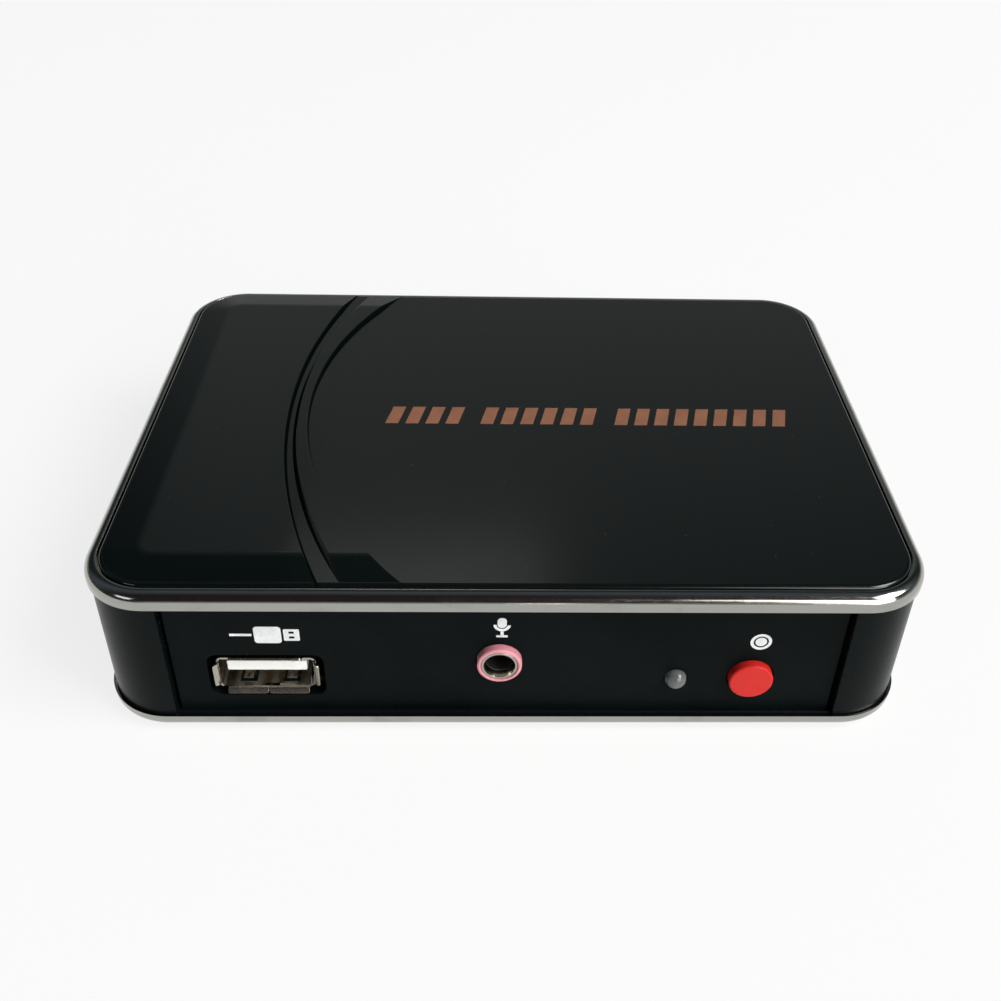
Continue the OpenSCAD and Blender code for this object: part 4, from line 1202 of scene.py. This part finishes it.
class AddCase(PieceOperator, bpy.types.Operator):
    """Add the case with its floor, side walls, posts and cooling slots"""

    bl_idname = "capture_box.add_case"
    bl_label = "Case"

    def build(self, s):
        case = s.case
        shell = self.walls(case)
        floor = add_slab("floor", s.trim.bottom_fillet + case.fit, Z_BASE + s.trim.flange, Z_WALL_FOOT)
        foot = add_slab("foot", s.trim.reach + case.fit, Z_BASE, Z_BASE + s.trim.flange + case.fit)
        fuse(shell, floor, foot, *self.lip(s), self.ribs(case), self.columns(case))
        cut(shell, self.vents(case), self.recesses(case))
        bevel(shell, rim(Z_BASE), case.rim_round, 3)
        dress(shell, finish("case"), stands_for=["bottom_case"], smooth=20)

    def lip(self, s):
        """Lip of the floor over the lower ring, and the rounded step up to the seat of the panels."""
        case = s.case
        step_foot = Z_WALL_FOOT - case.step
        lip = add_slab("lip", s.trim.rim + case.fit, z_rim() + case.fit, step_foot)
        seat = add_slab("seat", case.seat, step_foot - case.fit / 2, Z_WALL_FOOT)
        return lip, bevel(seat, level(Z_WALL_FOOT), case.step, 8)

    def walls(self, case):
        """Side walls with the corners, cut away between the panel joints."""
        low, high = Z_WALL_FOOT - OVER, Z_WALL_HEAD + OVER
        gap = joint_place(case) + case.joint_gap / 2
        face = case.depth / 2 - case.setback
        walls = add_slab("case_shell", case.setback, Z_WALL_FOOT - case.step - case.fit, Z_WALL_HEAD)
        cut(walls, add_slab("room", case.setback + case.wall, low, high))
        cut(walls, add_block("gap", (-gap, -case.depth, low), (gap, case.depth, high)))

        def joint_edge(edge):
            place = edge.verts[0].co
            return upright(edge) and near(abs(place.x), gap) and near(abs(place.y), face)

        return bevel(walls, joint_edge, case.joint_round)

    def ribs(self, case):
        """Ribs behind the tongues of the panels."""
        rear = PANEL_FACE - PANEL_THICK - case.fit
        near_side = joint_place(case) - case.guide_lap
        ribs = []
        for x, y in ((-1, -1), (-1, 1), (1, -1), (1, 1)):
            across = sorted((x * near_side, x * case.width / 2))
            along = sorted((y * rear, y * (rear - case.guide)))
            low = (across[0], along[0], Z_WALL_FOOT - case.fit)
            high = (across[1], along[1], Z_WALL_HEAD - case.guide_drop)
            ribs.append(add_block("rib", low, high))
        limit = add_slab("limit", case.setback + case.wall / 2, Z_BASE, Z_WALL_HEAD)
        return combine(join(*ribs), limit, "INTERSECT")

    def columns(self, case):
        """Screw posts and board standoffs."""
        foot = Z_WALL_FOOT - case.fit
        post = add_turned("post", [(case.post, foot), (case.post, Z_POST)])
        standoff = add_turned("standoff", [(case.standoff, foot), (case.standoff, Z_BOARD_FOOT)])
        return join(copies(post, screw_places()), copies(standoff, standoff_places()))

    def vents(self, case):
        """Tools for the row of cooling slots."""
        half = Vector((case.vent / 2, case.vent_length / 2))
        slot = add_block("vent", (-half.x, -half.y, Z_BASE - OVER), (half.x, half.y, Z_WALL_FOOT + OVER))
        bevel(slot, upright, half.x * 0.999, 8)
        row = [Vector(((i - (VENTS - 1) / 2) * case.vent_pitch, 0, 0)) for i in range(VENTS)]
        return copies(slot, row)

    def recesses(self, case):
        """Tools for the screw holes, the pilot holes and the seats of the feet."""
        head_gap, grip = 2 * case.fit, 2.8 * MM
        head, shank = case.screw_head + head_gap, case.screw + head_gap
        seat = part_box("case_screws")[0].z + SCREW_HEAD_HEIGHT
        screw = add_turned("screw_hole", [
            (head, Z_BASE - OVER), (head, seat), (shank, seat), (shank, Z_POST + OVER),
        ])
        pilot = add_turned("pilot", [(case.pilot, Z_BOARD_FOOT - grip), (case.pilot, Z_BOARD_FOOT + OVER)])
        sole = case.foot + case.fit
        foot = add_turned("foot_seat", [(sole, Z_BASE - OVER), (sole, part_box("rubber_feet")[1].z)])
        sets = ((screw, screw_places()), (pilot, standoff_places()), (foot, foot_places()))
        return join(*(copies(tool, places) for tool, places in sets))


class AddFeet(PieceOperator, bpy.types.Operator):
    """Add the rubber feet and the case screws"""

    bl_idname = "capture_box.add_feet"
    bl_label = "Feet and screws"

    def build(self, s):
        self.feet(s.case)
        self.screws(s.case)

    def feet(self, case):
        """Round feet with a shallow dish in the sole."""
        head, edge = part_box("rubber_feet")[1].z, case.foot_round
        rise, rim_share, dish_share, centre_share = 0.15 * MM, 0.74, 0.62, 0.05
        edge_points = arc(edge, case.foot - edge, edge, 0, -90)
        dish = [(case.foot * rim_share, 0), (case.foot * dish_share, rise), (case.foot * centre_share, rise)]
        foot = add_turned("rubber_foot_set", [(case.foot, head), *edge_points, *dish])
        dress(copies(foot, foot_places()), finish("rubber"), stands_for=["rubber_feet"])

    def screws(self, case):
        """Domed screws with a cross recess."""
        low, high = (corner.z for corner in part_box("case_screws"))
        seat, tip, tip_radius = low + SCREW_HEAD_HEIGHT, 0.8 * MM, case.screw * 0.6
        round_edge, flat = 0.9 * MM, case.screw_head * 0.2
        dome = arc(round_edge, case.screw_head - round_edge, low + round_edge, 0, -90)
        shank = [(tip_radius, high), (case.screw, high - tip), (case.screw, seat), (case.screw_head, seat)]
        screw = add_turned("case_screw_set", [*shank, *dome, (flat, low)])
        arm, wide, deep = case.screw_head * 0.6, case.screw_head / 8, 0.95 * MM
        across = add_block("across", (-arm, -wide, low - OVER), (arm, wide, low + deep))
        along = add_block("along", (-wide, -arm, low - OVER), (wide, arm, low + deep))
        cut(screw, fuse(across, along))
        dress(copies(screw, screw_places()), finish("steel"), stands_for=["case_screws"])


class AddPanels(PieceOperator, bpy.types.Operator):
    """Add the front and rear panels with their openings"""

    bl_idname = "capture_box.add_panels"
    bl_label = "Panels"

    def build(self, s):
        k, fit = s.sockets, s.case.fit
        front = self.blank("front_panel_plate", s.case)
        slot = self.opening(k.cut_width, k.cut_height, k.cut_round)
        cut(
            front,
            self.at("usb_shell", slot),
            self.at("mic_jack_sleeve", self.round_hole(k.collar + fit)),
            self.at("status_led_lens", self.round_hole(k.lens + fit)),
            self.at("switch_plunger", self.round_hole(k.button + k.button_gap)),
        )
        self.close(front, at_front, k.hole_round, "front_panel")
        rear = self.blank("rear_panel_plate", s.case)
        for node in ("hdmi_in_shell", "hdmi_out_shell"):
            cut(rear, self.at(node, add_video_bar("opening", k, -2 * fit, -PANEL_THICK - OVER, OVER), -1))
        cut(rear, self.at("component_shell", self.round_hole(size_of("component_shell").x / 2 + fit), -1))
        cut(rear, self.at("dc_jack_pin", self.round_hole(k.nose + fit), -1))
        self.close(rear, at_rear, k.hole_round, "rear_panel")

    def blank(self, name, case):
        """Plate with side tongues that slide in behind the walls; y starts at its foot."""
        half = joint_place(case) - case.joint_gap / 2
        tongue = joint_place(case) + case.joint_flat - case.fit
        back = case.depth / 2 - PANEL_FACE + PANEL_THICK
        tongue_front = back - case.setback - case.wall - case.fit - PANEL_THICK
        high = PANEL_HEAD - Z_WALL_FOOT
        plate = add_block(name, (-half, 0, -PANEL_THICK), (half, high, 0))
        return fuse(plate, add_block("tongue", (-tongue, 0, -PANEL_THICK), (tongue, high, tongue_front)))

    def round_hole(self, radius):
        """Tool for a round hole through a panel."""
        return add_turned("hole", [(radius, -PANEL_THICK - OVER), (radius, OVER)])

    def opening(self, width, height, corner):
        """Tool for a rounded opening through a panel."""
        low = (-width / 2, -height / 2, -PANEL_THICK - OVER)
        return bevel(add_block("opening", low, (width / 2, height / 2, OVER)), upright, corner, 8)

    def at(self, node, tool, side=1):
        """Moves a tool to the axis of a node, seen from outside the panel."""
        place = middle(node)
        return put(tool, Matrix.Translation((side * place.x, place.z - Z_WALL_FOOT, 0)))

    def close(self, panel, stand, rounding, node):
        """Rounds the rims of a panel's openings and stands it in its place."""
        bevel(panel, rim(0), rounding, 3)
        put(panel, stand(0, Z_WALL_FOOT))
        dress(panel, finish("panel"), stands_for=[node])


class AddDataSocket(PieceOperator, bpy.types.Operator):
    """Add the data socket: a folded shell with bent lips and spring fingers, and its white tongue"""

    bl_idname = "capture_box.add_data_socket"
    bl_label = "Data socket"

    def build(self, s):
        k = s.sockets
        place = middle("usb_shell")
        back = -size_of("usb_shell").y
        low_half = (k.low_lip - k.seam) / 2
        low_side = (low_half + k.seam) / 2
        lips = (
            (0, k.top_lip, k.data_height / 2, 0),
            (180, low_half, k.data_height / 2, low_side), (180, low_half, k.data_height / 2, -low_side),
            (90, k.side_lip, k.data_width / 2, 0), (-90, k.side_lip, k.data_width / 2, 0),
        )
        shell = cut(self.tube("data_sheet_shell", k, 0, back), self.tube("inside", k, k.sheet, back))
        cut(shell, self.windows(k))
        fuse(shell, *(self.lip(k, *lip) for lip in lips), *self.fingers(k))
        soften(shell, 0.04 * MM)
        put(shell, at_front(place.x, place.z))
        dress(shell, finish("socket_metal"), stands_for=["usb_shell"])
        dressed_copy("usb_tongue", "data_white_tongue", "white_plastic", 0.16 * MM)

    def tube(self, name, k, inset, back):
        """Rounded bar of the shell's outline, drawn in by inset; the inner one reaches past both ends."""
        half = Vector((k.data_width / 2 - inset, k.data_height / 2 - inset))
        past = OVER if inset else 0
        bar = add_block(name, (-half.x, -half.y, back - past), (half.x, half.y, data_mouth(k) + past))
        return bevel(bar, upright, k.data_round - inset, 8)

    def windows(self, k):
        """Tools for the four windows of the spring fingers."""
        half, inner = k.window / 2, 1 * MM
        front = data_mouth(k) - k.window_back
        rear = front - k.window_length
        tools = []
        for x in (-k.window_x, k.window_x):
            for low, high in ((-k.data_height, -inner), (inner, k.data_height)):
                tools.append(add_block("window", (x - half, low, rear), (x + half, high, front)))
        return join(*tools)

    def lip(self, k, turn, width, out, shift):
        """Lip bent outwards from one edge of the mouth, shifted along that edge."""
        mouth, root = data_mouth(k), 0.5 * MM
        lip = add_block("lip", (-width / 2, out - k.sheet, mouth - root), (width / 2, out, mouth))
        straight = (k.lip_out - mouth - (k.bend + k.sheet) * math.sin(k.flare)) / math.cos(k.flare)
        with shaping(lip):
            pick(lip, "FACE", facing(UP))
            bpy.ops.mesh.spin(steps=6, angle=k.flare, center=(0, out + k.bend, mouth), axis=(1, 0, 0))
            along = Vector((0, math.sin(k.flare), math.cos(k.flare))) * straight
            bpy.ops.mesh.extrude_region_move(TRANSFORM_OT_translate={"value": along})
            face_outwards()
        bevel(lip, self.tip_corner(k, width, mouth), k.lip_round, 4)
        return put(lip, Matrix.Rotation(math.radians(turn), 4, "Z") @ Matrix.Translation((shift, 0, 0)))

    def tip_corner(self, k, width, mouth):
        """The two short edges at the corners of a lip's tip."""
        past_bend = mouth + 0.5 * MM

        def test(edge):
            a, b = (v.co for v in edge.verts)
            at_side = near(abs(a.x), width / 2) and near(a.x, b.x)
            return at_side and min(a.z, b.z) > past_bend and near((a - b).length, k.sheet)

        return test

    def fingers(self, k):
        """Spring fingers, bowed into the shell from the rear end of each window."""
        mouth, half = data_mouth(k), k.window * 0.3
        out = k.data_height / 2
        root = mouth - k.window_back - k.window_length
        bow, hump, lap = math.radians(14.3), math.radians(30), 0.4 * MM
        long_radius, short_radius = 16 * MM, 1.6 * MM
        finger = add_block("finger", (-half, out - k.sheet, root - lap), (half, out, root))
        with shaping(finger):
            pick(finger, "FACE", facing(UP))
            bpy.ops.mesh.spin(steps=10, angle=bow, center=(0, out - long_radius, root), axis=(-1, 0, 0))
            depth = long_radius * math.sin(bow)
            drop = long_radius * (1 - math.cos(bow))
            tip = Vector((0, out - drop, root + depth))
            centre = tip + short_radius * Vector((0, math.cos(bow), math.sin(bow)))
            bpy.ops.mesh.spin(steps=8, angle=hump, center=centre, axis=(1, 0, 0))
            face_outwards()
        made = []
        for turn in (0, 180):
            for x in (-k.window_x, k.window_x):
                spot = Matrix.Rotation(math.radians(turn), 4, "Z") @ Matrix.Translation((x, 0, 0))
                made.append(put(copy_piece(finger, "finger"), spot))
        bpy.data.objects.remove(finger)
        return made


class AddMicrophoneJack(PieceOperator, bpy.types.Operator):
    """Add the microphone jack: a pink housing with its collar, and the metal sleeve in it"""

    bl_idname = "capture_box.add_microphone_jack"
    bl_label = "Microphone jack"

    def build(self, s):
        k, fit = s.sockets, s.case.fit
        place = middle("mic_jack_sleeve")
        low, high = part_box("mic_jack_housing")
        end = -PANEL_FACE - high.y
        behind = -PANEL_THICK - fit
        sleeve_end = -PANEL_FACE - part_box("mic_jack_sleeve")[1].y
        back_wall, inner_round, block_round = 1.2 * MM, 0.1 * MM, 0.3 * MM
        seat, bottom = k.sleeve + fit / 2, end + back_wall
        edge = arc(k.collar_round, k.collar - k.collar_round, k.collar_out - k.collar_round, 0, 90, 6)
        inner = arc(inner_round, seat + inner_round, k.collar_out - inner_round, 90, 180, 3)
        housing = add_block("jack_pink_housing", (low.x - place.x, low.z - place.z, end),
                            (high.x - place.x, high.z - place.z, behind))
        bevel(housing, lambda edge: True, block_round, 3)
        collar = add_turned("collar", [(k.collar, behind - OVER), *edge, *inner, (seat, behind - OVER / 2)])
        fuse(housing, collar)
        wide = k.bore + 4 * fit
        cavity = [(wide, bottom), (wide, sleeve_end), (seat, sleeve_end), (seat, 0)]
        cut(housing, add_turned("cavity", cavity))
        cut(housing, *self.leaf_slots(s, sleeve_end, bottom))
        put(housing, at_front(place.x, place.z))
        dress(housing, finish("pink_plastic"), stands_for=["mic_jack_housing"])
        self.sleeve(k, fit, sleeve_end, place)

    def leaf_slots(self, s, sleeve_end, bottom):
        """Tools for the two slots that take the contact leaves."""
        half, front_wall, rear_wall = 0.8 * MM, 0.6 * MM, 1 * MM
        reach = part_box("mic_jack_springs")[1].z - middle("mic_jack_sleeve").z + s.case.fit
        high, low = sleeve_end - front_wall, bottom + rear_wall
        sides = ((0, reach), (-reach, 0))
        return [add_block("slot", (-half, foot, low), (half, head, high)) for foot, head in sides]

    def sleeve(self, k, fit, end, place):
        """Metal sleeve with a chamfered mouth."""
        front = k.collar_out - fit
        lip = 0.12 * MM
        outside = [(k.sleeve, end), *arc(lip, k.sleeve - lip, front - lip, 0, 90, 4)]
        mouth = [(k.bore + k.mouth, front), (k.bore, front - k.mouth_depth), (k.bore, end + OVER)]
        sleeve = add_turned("jack_metal_sleeve", [*outside, *mouth])
        cut(sleeve, add_turned("bore", [(k.bore, end - OVER), (k.bore, end + 2 * OVER)]))
        put(sleeve, at_front(place.x, place.z))
        dress(sleeve, finish("sleeve_metal"), stands_for=["mic_jack_sleeve"])


class AddIndicator(PieceOperator, bpy.types.Operator):
    """Add the indicator's domed lens"""

    bl_idname = "capture_box.add_indicator"
    bl_label = "Indicator"

    def build(self, s):
        k = s.sockets
        place, size = middle("status_led_lens"), size_of("status_led_lens")
        back, flange = k.lens - size.y, size.x / 2
        step = -PANEL_THICK - 2 * s.case.fit
        dome = arc(k.lens, 0, 0, 0, 88, 20)
        lens = add_turned("indicator_lens", [(flange, back), (flange, step), (k.lens, step), *dome])
        put(lens, at_front(place.x, place.z))
        dress(lens, finish("lens"), stands_for=["status_led_lens"])


class AddRecordButton(PieceOperator, bpy.types.Operator):
    """Add the red record button, which moves with its joint"""

    bl_idname = "capture_box.add_record_button"
    bl_label = "Record button"

    def build(self, s):
        k, fit = s.sockets, s.case.fit
        place = middle("switch_plunger")
        back = -PANEL_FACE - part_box("record_button")[1].y
        flange, front = size_of("record_button").x / 2, -PANEL_THICK - fit
        step, plunger = front - k.button_flange, size_of("switch_plunger").x / 2
        wall, crown_share = 0.9 * MM, 0.4
        socket = plunger + wall
        edge = arc(k.button_round, k.button - k.button_round, k.button_out - k.button_round, 0, 90, 12)
        crown = [(k.button * crown_share, k.button_out)]
        button = add_turned("red_record_button", [
            (socket, back), (socket, step), (flange, step), (flange, front), (k.button, front), *edge, *crown,
        ])
        cut(button, add_turned("hole", [(plunger + fit / 2, back - OVER), (plunger + fit / 2, step)]))
        flat, flat_front = Z_BOARD + 3 * fit - place.z, front + k.button_travel + fit
        past = flange + OVER
        cut(button, add_block("flat", (-past, -past, back - OVER), (past, flat, flat_front)))
        put(button, at_front(place.x, place.z))
        dress(button, finish("red_plastic"), "button", ["record_button"])


def add_video_bar(name, k, inset, low, high):
    """Bar with the slanted outline of a video socket, drawn in by inset."""
    size = size_of("hdmi_in_shell")
    half = Vector((size.x / 2 - inset, size.z / 2 - inset))
    bar = add_block(name, (-half.x, -half.y, low), (half.x, half.y, high))
    bevel(bar, lambda edge: upright(edge) and edge.verts[0].co.y < 0, k.slant, 1)
    return bevel(bar, upright, k.fold - inset / 2, 5)


class AddRearSockets(PieceOperator, bpy.types.Operator):
    """Add the two video sockets, the component socket and the power inlet of the rear panel"""

    bl_idname = "capture_box.add_rear_sockets"
    bl_label = "Rear sockets"

    def build(self, s):
        for name, node in (("video_in", "hdmi_in"), ("video_out", "hdmi_out")):
            self.video_socket(s.sockets, name, node)
        for node, name, slot, width in (
            ("component_block", "component_moulding", "chip", 0.3 * MM),
            ("component_shell", "component_metal_shell", "socket_metal", 0.07 * MM),
            ("component_insert", "component_pin_insert", "chip", 0.06 * MM),
            ("dc_jack_housing", "power_inlet_moulding", "chip", 0.16 * MM),
            ("dc_jack_pin", "power_inlet_pin", "socket_metal", 0.12 * MM),
        ):
            dressed_copy(node, name, slot, width)

    def video_socket(self, k, name, node):
        """Folded shell of a video socket, and its tongue."""
        place, back = middle(f"{node}_shell"), -size_of(f"{node}_shell").y
        shell = add_video_bar(f"{name}_folded_shell", k, 0, back, 0)
        cut(shell, add_video_bar("inside", k, k.sheet, back - OVER, OVER))
        soften(shell, 0.05 * MM)
        put(shell, at_rear(place.x, place.z))
        dress(shell, finish("socket_metal"), stands_for=[f"{node}_shell"])
        dressed_copy(f"{node}_tongue", f"{name}_contact_tongue", "chip", 0.12 * MM)


class AddPrintedMarks(PieceOperator, bpy.types.Operator):
    """Add the printed marks: plug, microphone and record sign on the panel, slanted bars on the cover"""

    bl_idname = "capture_box.add_printed_marks"
    bl_label = "Printed marks"

    def build(self, s):
        marks = s.marks
        for name, draw, node, side, height in (
            ("mark_plug", self.plug, "usb_shell", 0.5 * MM, marks.plug_height),
            ("mark_microphone", self.microphone, "mic_jack_sleeve", 0.3 * MM, marks.microphone_height),
            ("mark_record", self.record_sign, "switch_plunger", 0.6 * MM, marks.record_height),
        ):
            self.on_panel(name, draw(marks), middle(node).x + side, height)
        dress(self.bars(marks), finish("copper_ink"))

    def on_panel(self, name, pieces, x, z):
        """Joins the pieces of a mark and prints it on the front panel."""
        mark = join(*pieces)
        mark.name = name
        put(mark, at_front(x, z))
        dress(mark, finish("white_ink"))

    def bar(self, low, high, thick, rounding=0):
        """Flat bar between two corners."""
        bar = add_block("bar", (*low, 0), (*high, thick))
        return bevel(bar, upright, rounding, 6) if rounding else bar

    def ring(self, radius, line, thick):
        """Flat ring."""
        inner = radius - line
        ring = add_turned("ring", [(radius, 0), (radius, thick), (inner, thick), (inner, thick / 2)])
        return cut(ring, add_turned("hole", [(inner, -OVER), (inner, OVER)]))

    def plug(self, m):
        """Plug seen from the side, with its cord."""
        line, thick = m.line, m.ink
        grip_start, grip_end, grip, grip_round = -1.4 * MM, 2.2 * MM, 1.5 * MM, 0.5 * MM
        tip_start, tip_end, tip_half, tip_round = 2.5 * MM, 4.6 * MM, 1.05 * MM, 0.2 * MM
        hole_start, hole_end, hole_half, hole_side = 3.2 * MM, 3.9 * MM, 0.2 * MM, 0.45 * MM
        cord_start, cord_end = -4.6 * MM, -1.7 * MM
        handle = self.bar((grip_start, -grip), (grip_end, grip), thick, grip_round)
        tip = self.bar((tip_start, -tip_half), (tip_end, tip_half), thick, tip_round)
        for y in (-hole_side, hole_side):
            cut(tip, self.bar((hole_start, y - hole_half), (hole_end, y + hole_half), 4 * thick))
        cord = self.bar((cord_start, -line / 2), (cord_end, line / 2), thick)
        return [handle, tip, cord]

    def microphone(self, m):
        """Microphone on a stand."""
        line, thick = m.line, m.ink
        half, foot, head, rounding = 0.62 * MM, -0.2 * MM, 1.6 * MM, 0.6 * MM
        cradle_radius, cradle_up = 1.15 * MM, 0.35 * MM
        stem_foot, stem_head, base_half, base_head = -1.5 * MM, -0.85 * MM, 0.75 * MM, -1.55 * MM
        capsule = self.bar((-half, foot), (half, head), thick, rounding)
        cradle = self.ring(cradle_radius, line, thick)
        with shaping(cradle):
            bpy.ops.mesh.select_all(action="SELECT")
            bpy.ops.mesh.bisect(plane_co=(0, 0, 0), plane_no=(0, 1, 0), use_fill=True, clear_outer=True)
        put(cradle, Matrix.Translation((0, cradle_up, 0)))
        stem = self.bar((-line / 2, stem_foot), (line / 2, stem_head), thick)
        base = self.bar((-base_half, stem_foot - line), (base_half, base_head), thick)
        return [capsule, cradle, stem, base]

    def record_sign(self, m):
        """Dot in a ring."""
        ring_radius, dot_radius, centre = 1.45 * MM, 0.78 * MM, 0.2 * MM
        dot = add_turned("dot", [(dot_radius, 0), (dot_radius, m.ink), (centre, m.ink)])
        return [self.ring(ring_radius, m.line, m.ink), dot]

    def bars(self, m):
        """Row of slanted bars in three groups."""
        low, high = m.bar_middle - m.bar_length / 2, m.bar_middle + m.bar_length / 2
        field = z_field()
        x, bars = m.bar_start, []
        for count in BAR_GROUPS:
            for _ in range(count):
                bar = add_block("bar", (x, low, field - m.ink), (x + m.bar_width, high, field + m.ink))
                with shaping(bar):
                    pick(bar, "FACE", facing((0, 1, 0)))
                    bpy.ops.transform.translate(value=(m.bar_slant, 0, 0))
                bars.append(bar)
                x += m.bar_pitch
            x += m.bar_gap
        strip = join(*bars)
        strip.name = "cover_bar_strip"
        return strip


class FinishInnerParts(PieceOperator, bpy.types.Operator):
    """Give every node of the construction the finish of its slot"""

    bl_idname = "capture_box.finish_inner_parts"
    bl_label = "Inner parts"

    def build(self, s):
        for part in frame["record"]["subparts"]:
            node = frame["nodes"][part["node"]]
            node.data.materials.clear()
            node.data.materials.append(finish(part["material_slot"]))


class SetStage(PieceOperator, bpy.types.Operator):
    """Set up the floor, the light and the camera"""

    bl_idname = "capture_box.set_stage"
    bl_label = "Stage"

    def build(self, s):
        self.lay_floor(s.stage)
        self.light_room(s.stage)
        for lamp in ("rear", "left", "right", "window", "front"):
            self.hang_lamp(lamp, getattr(s.stage, lamp))
        self.stand_camera(s.stage)
        bpy.context.scene.view_settings.view_transform = "Standard"

    def lay_floor(self, stage):
        """Pale floor that keeps the shadow; the camera and reflections see it mixed with plain white."""
        start_clean()
        bpy.ops.mesh.primitive_circle_add(vertices=FLOOR_STEPS, radius=FLOOR_RADIUS, fill_type="NGON")
        floor = keep_new("floor")
        f = Finish("pale_floor")
        paper = f.mix(f.noise(0.5), shade(stage.floor, 0.985), tuple(stage.floor))
        f.done(Base_Color=paper, Roughness=0.8, Specular_IOR_Level=0.0)
        seen = [f.node("ShaderNodeLightPath", output=ray) for ray in SEEN_RAYS]
        share = (seen[0] + seen[1] + seen[2]) * stage.glow
        glow = f.node("ShaderNodeEmission", None, {"Color": (1, 1, 1), "Strength": 1.0})
        floor.data.materials.append(f.over(share, glow))

    def light_room(self, stage):
        """Dim room: pale near the horizon but for the left, dark above, a little lighter behind the box."""
        world = bpy.data.worlds.new("studio_room")
        bpy.context.scene.world = world
        world.use_nodes = True
        room = Nodes(world.node_tree)
        direction = room.node("ShaderNodeTexCoord", output="Generated")
        right, back, up = (
            room.node("ShaderNodeSeparateXYZ", None, {0: direction}, output=axis) for axis in "XYZ"
        )
        side = room.mix(right.rises(-0.6, -0.1), stage.room_left, stage.room_edge)
        edge = room.mix(back.rises(0.2, 0.6), side, stage.room_edge)
        top = room.mix(back.rises(-0.45, 0.2), stage.room_front, stage.room_top)
        front = room.mix(back.rises(0.2, 0.5), top, stage.room_slope)
        far = back * 0.995 - right * 0.105
        rear = room.mix(right.rises(-0.55, -0.2), stage.room_slope, stage.room_rear)
        upper = room.mix(far.rises(0.45, 0.9), front, rear)
        colour = room.mix(up.rises(0.05, 0.3), edge, upper)
        room.plug(world.node_tree.nodes["Background"].inputs["Color"], colour)

    def hang_lamp(self, name, lamp):
        """Soft box at a bearing and a height, turned towards the box."""
        light = bpy.data.lights.new(f"soft_box_{name}", "AREA")
        light.shape = "RECTANGLE"
        light.size, light.size_y = lamp.size
        light.energy = lamp.power
        light.color = lamp.colour
        stand = bpy.data.objects.new(light.name, light)
        flat = math.cos(lamp.height)
        way = Vector((math.sin(lamp.bearing) * flat, math.cos(lamp.bearing) * flat, math.sin(lamp.height)))
        stand.location = way * lamp.distance
        stand.rotation_euler = (-way).to_track_quat("-Z", "Y").to_euler()
        bpy.context.scene.collection.objects.link(stand)

    def stand_camera(self, stage):
        """Camera at the angle of the photo."""
        camera = bpy.data.cameras.new("photo_angle")
        camera.sensor_width = SENSOR
        camera.lens = stage.lens
        camera.shift_x, camera.shift_y = stage.shift
        camera.clip_start = 1 * MM
        stand = bpy.data.objects.new("photo_angle", camera)
        turn = Matrix.Rotation(-stage.turn, 4, "Z")
        tilt = Matrix.Rotation(math.radians(90) - stage.tilt, 4, "X")
        lean = Matrix.Rotation(stage.lean, 4, "Z")
        stand.matrix_world = Matrix.Translation(stage.place) @ turn @ tilt @ lean
        bpy.context.scene.collection.objects.link(stand)
        bpy.context.scene.camera = stand


PIECES = (
    AddCover, AddTrim, AddCase, AddFeet, AddPanels, AddDataSocket, AddMicrophoneJack, AddIndicator,
    AddRecordButton, AddRearSockets, AddPrintedMarks, FinishInnerParts, SetStage,
)


class CaptureBoxPanel(bpy.types.Panel):
    """Steps of the capture box"""

    bl_idname = "VIEW3D_PT_capture_box"
    bl_label = "Video capture box"
    bl_space_type = "VIEW_3D"
    bl_region_type = "UI"
    bl_category = "Capture Box"

    def draw(self, context):
        for piece in PIECES:
            self.layout.operator(piece.bl_idname)


CLASSES = (
    CaseSizes, TrimSizes, CoverSizes, SocketSizes, MarkSizes, FinishColours, RearSoftBox, LeftSoftBox,
    RightSoftBox, WindowSoftBox, FrontSoftBox, StageSettings, CaptureBoxSettings,
    *PIECES, CaptureBoxPanel,
)


def register():
    for made in CLASSES:
        bpy.utils.register_class(made)
    bpy.types.Scene.capture_box = PointerProperty(type=CaptureBoxSettings)


def unregister():
    del bpy.types.Scene.capture_box
    for made in reversed(CLASSES):
        bpy.utils.unregister_class(made)


def main():
    register()
    for piece in PIECES:
        group, step = piece.bl_idname.split(".")
        getattr(getattr(bpy.ops, group), step)()


if __name__ == "__main__":
    main()
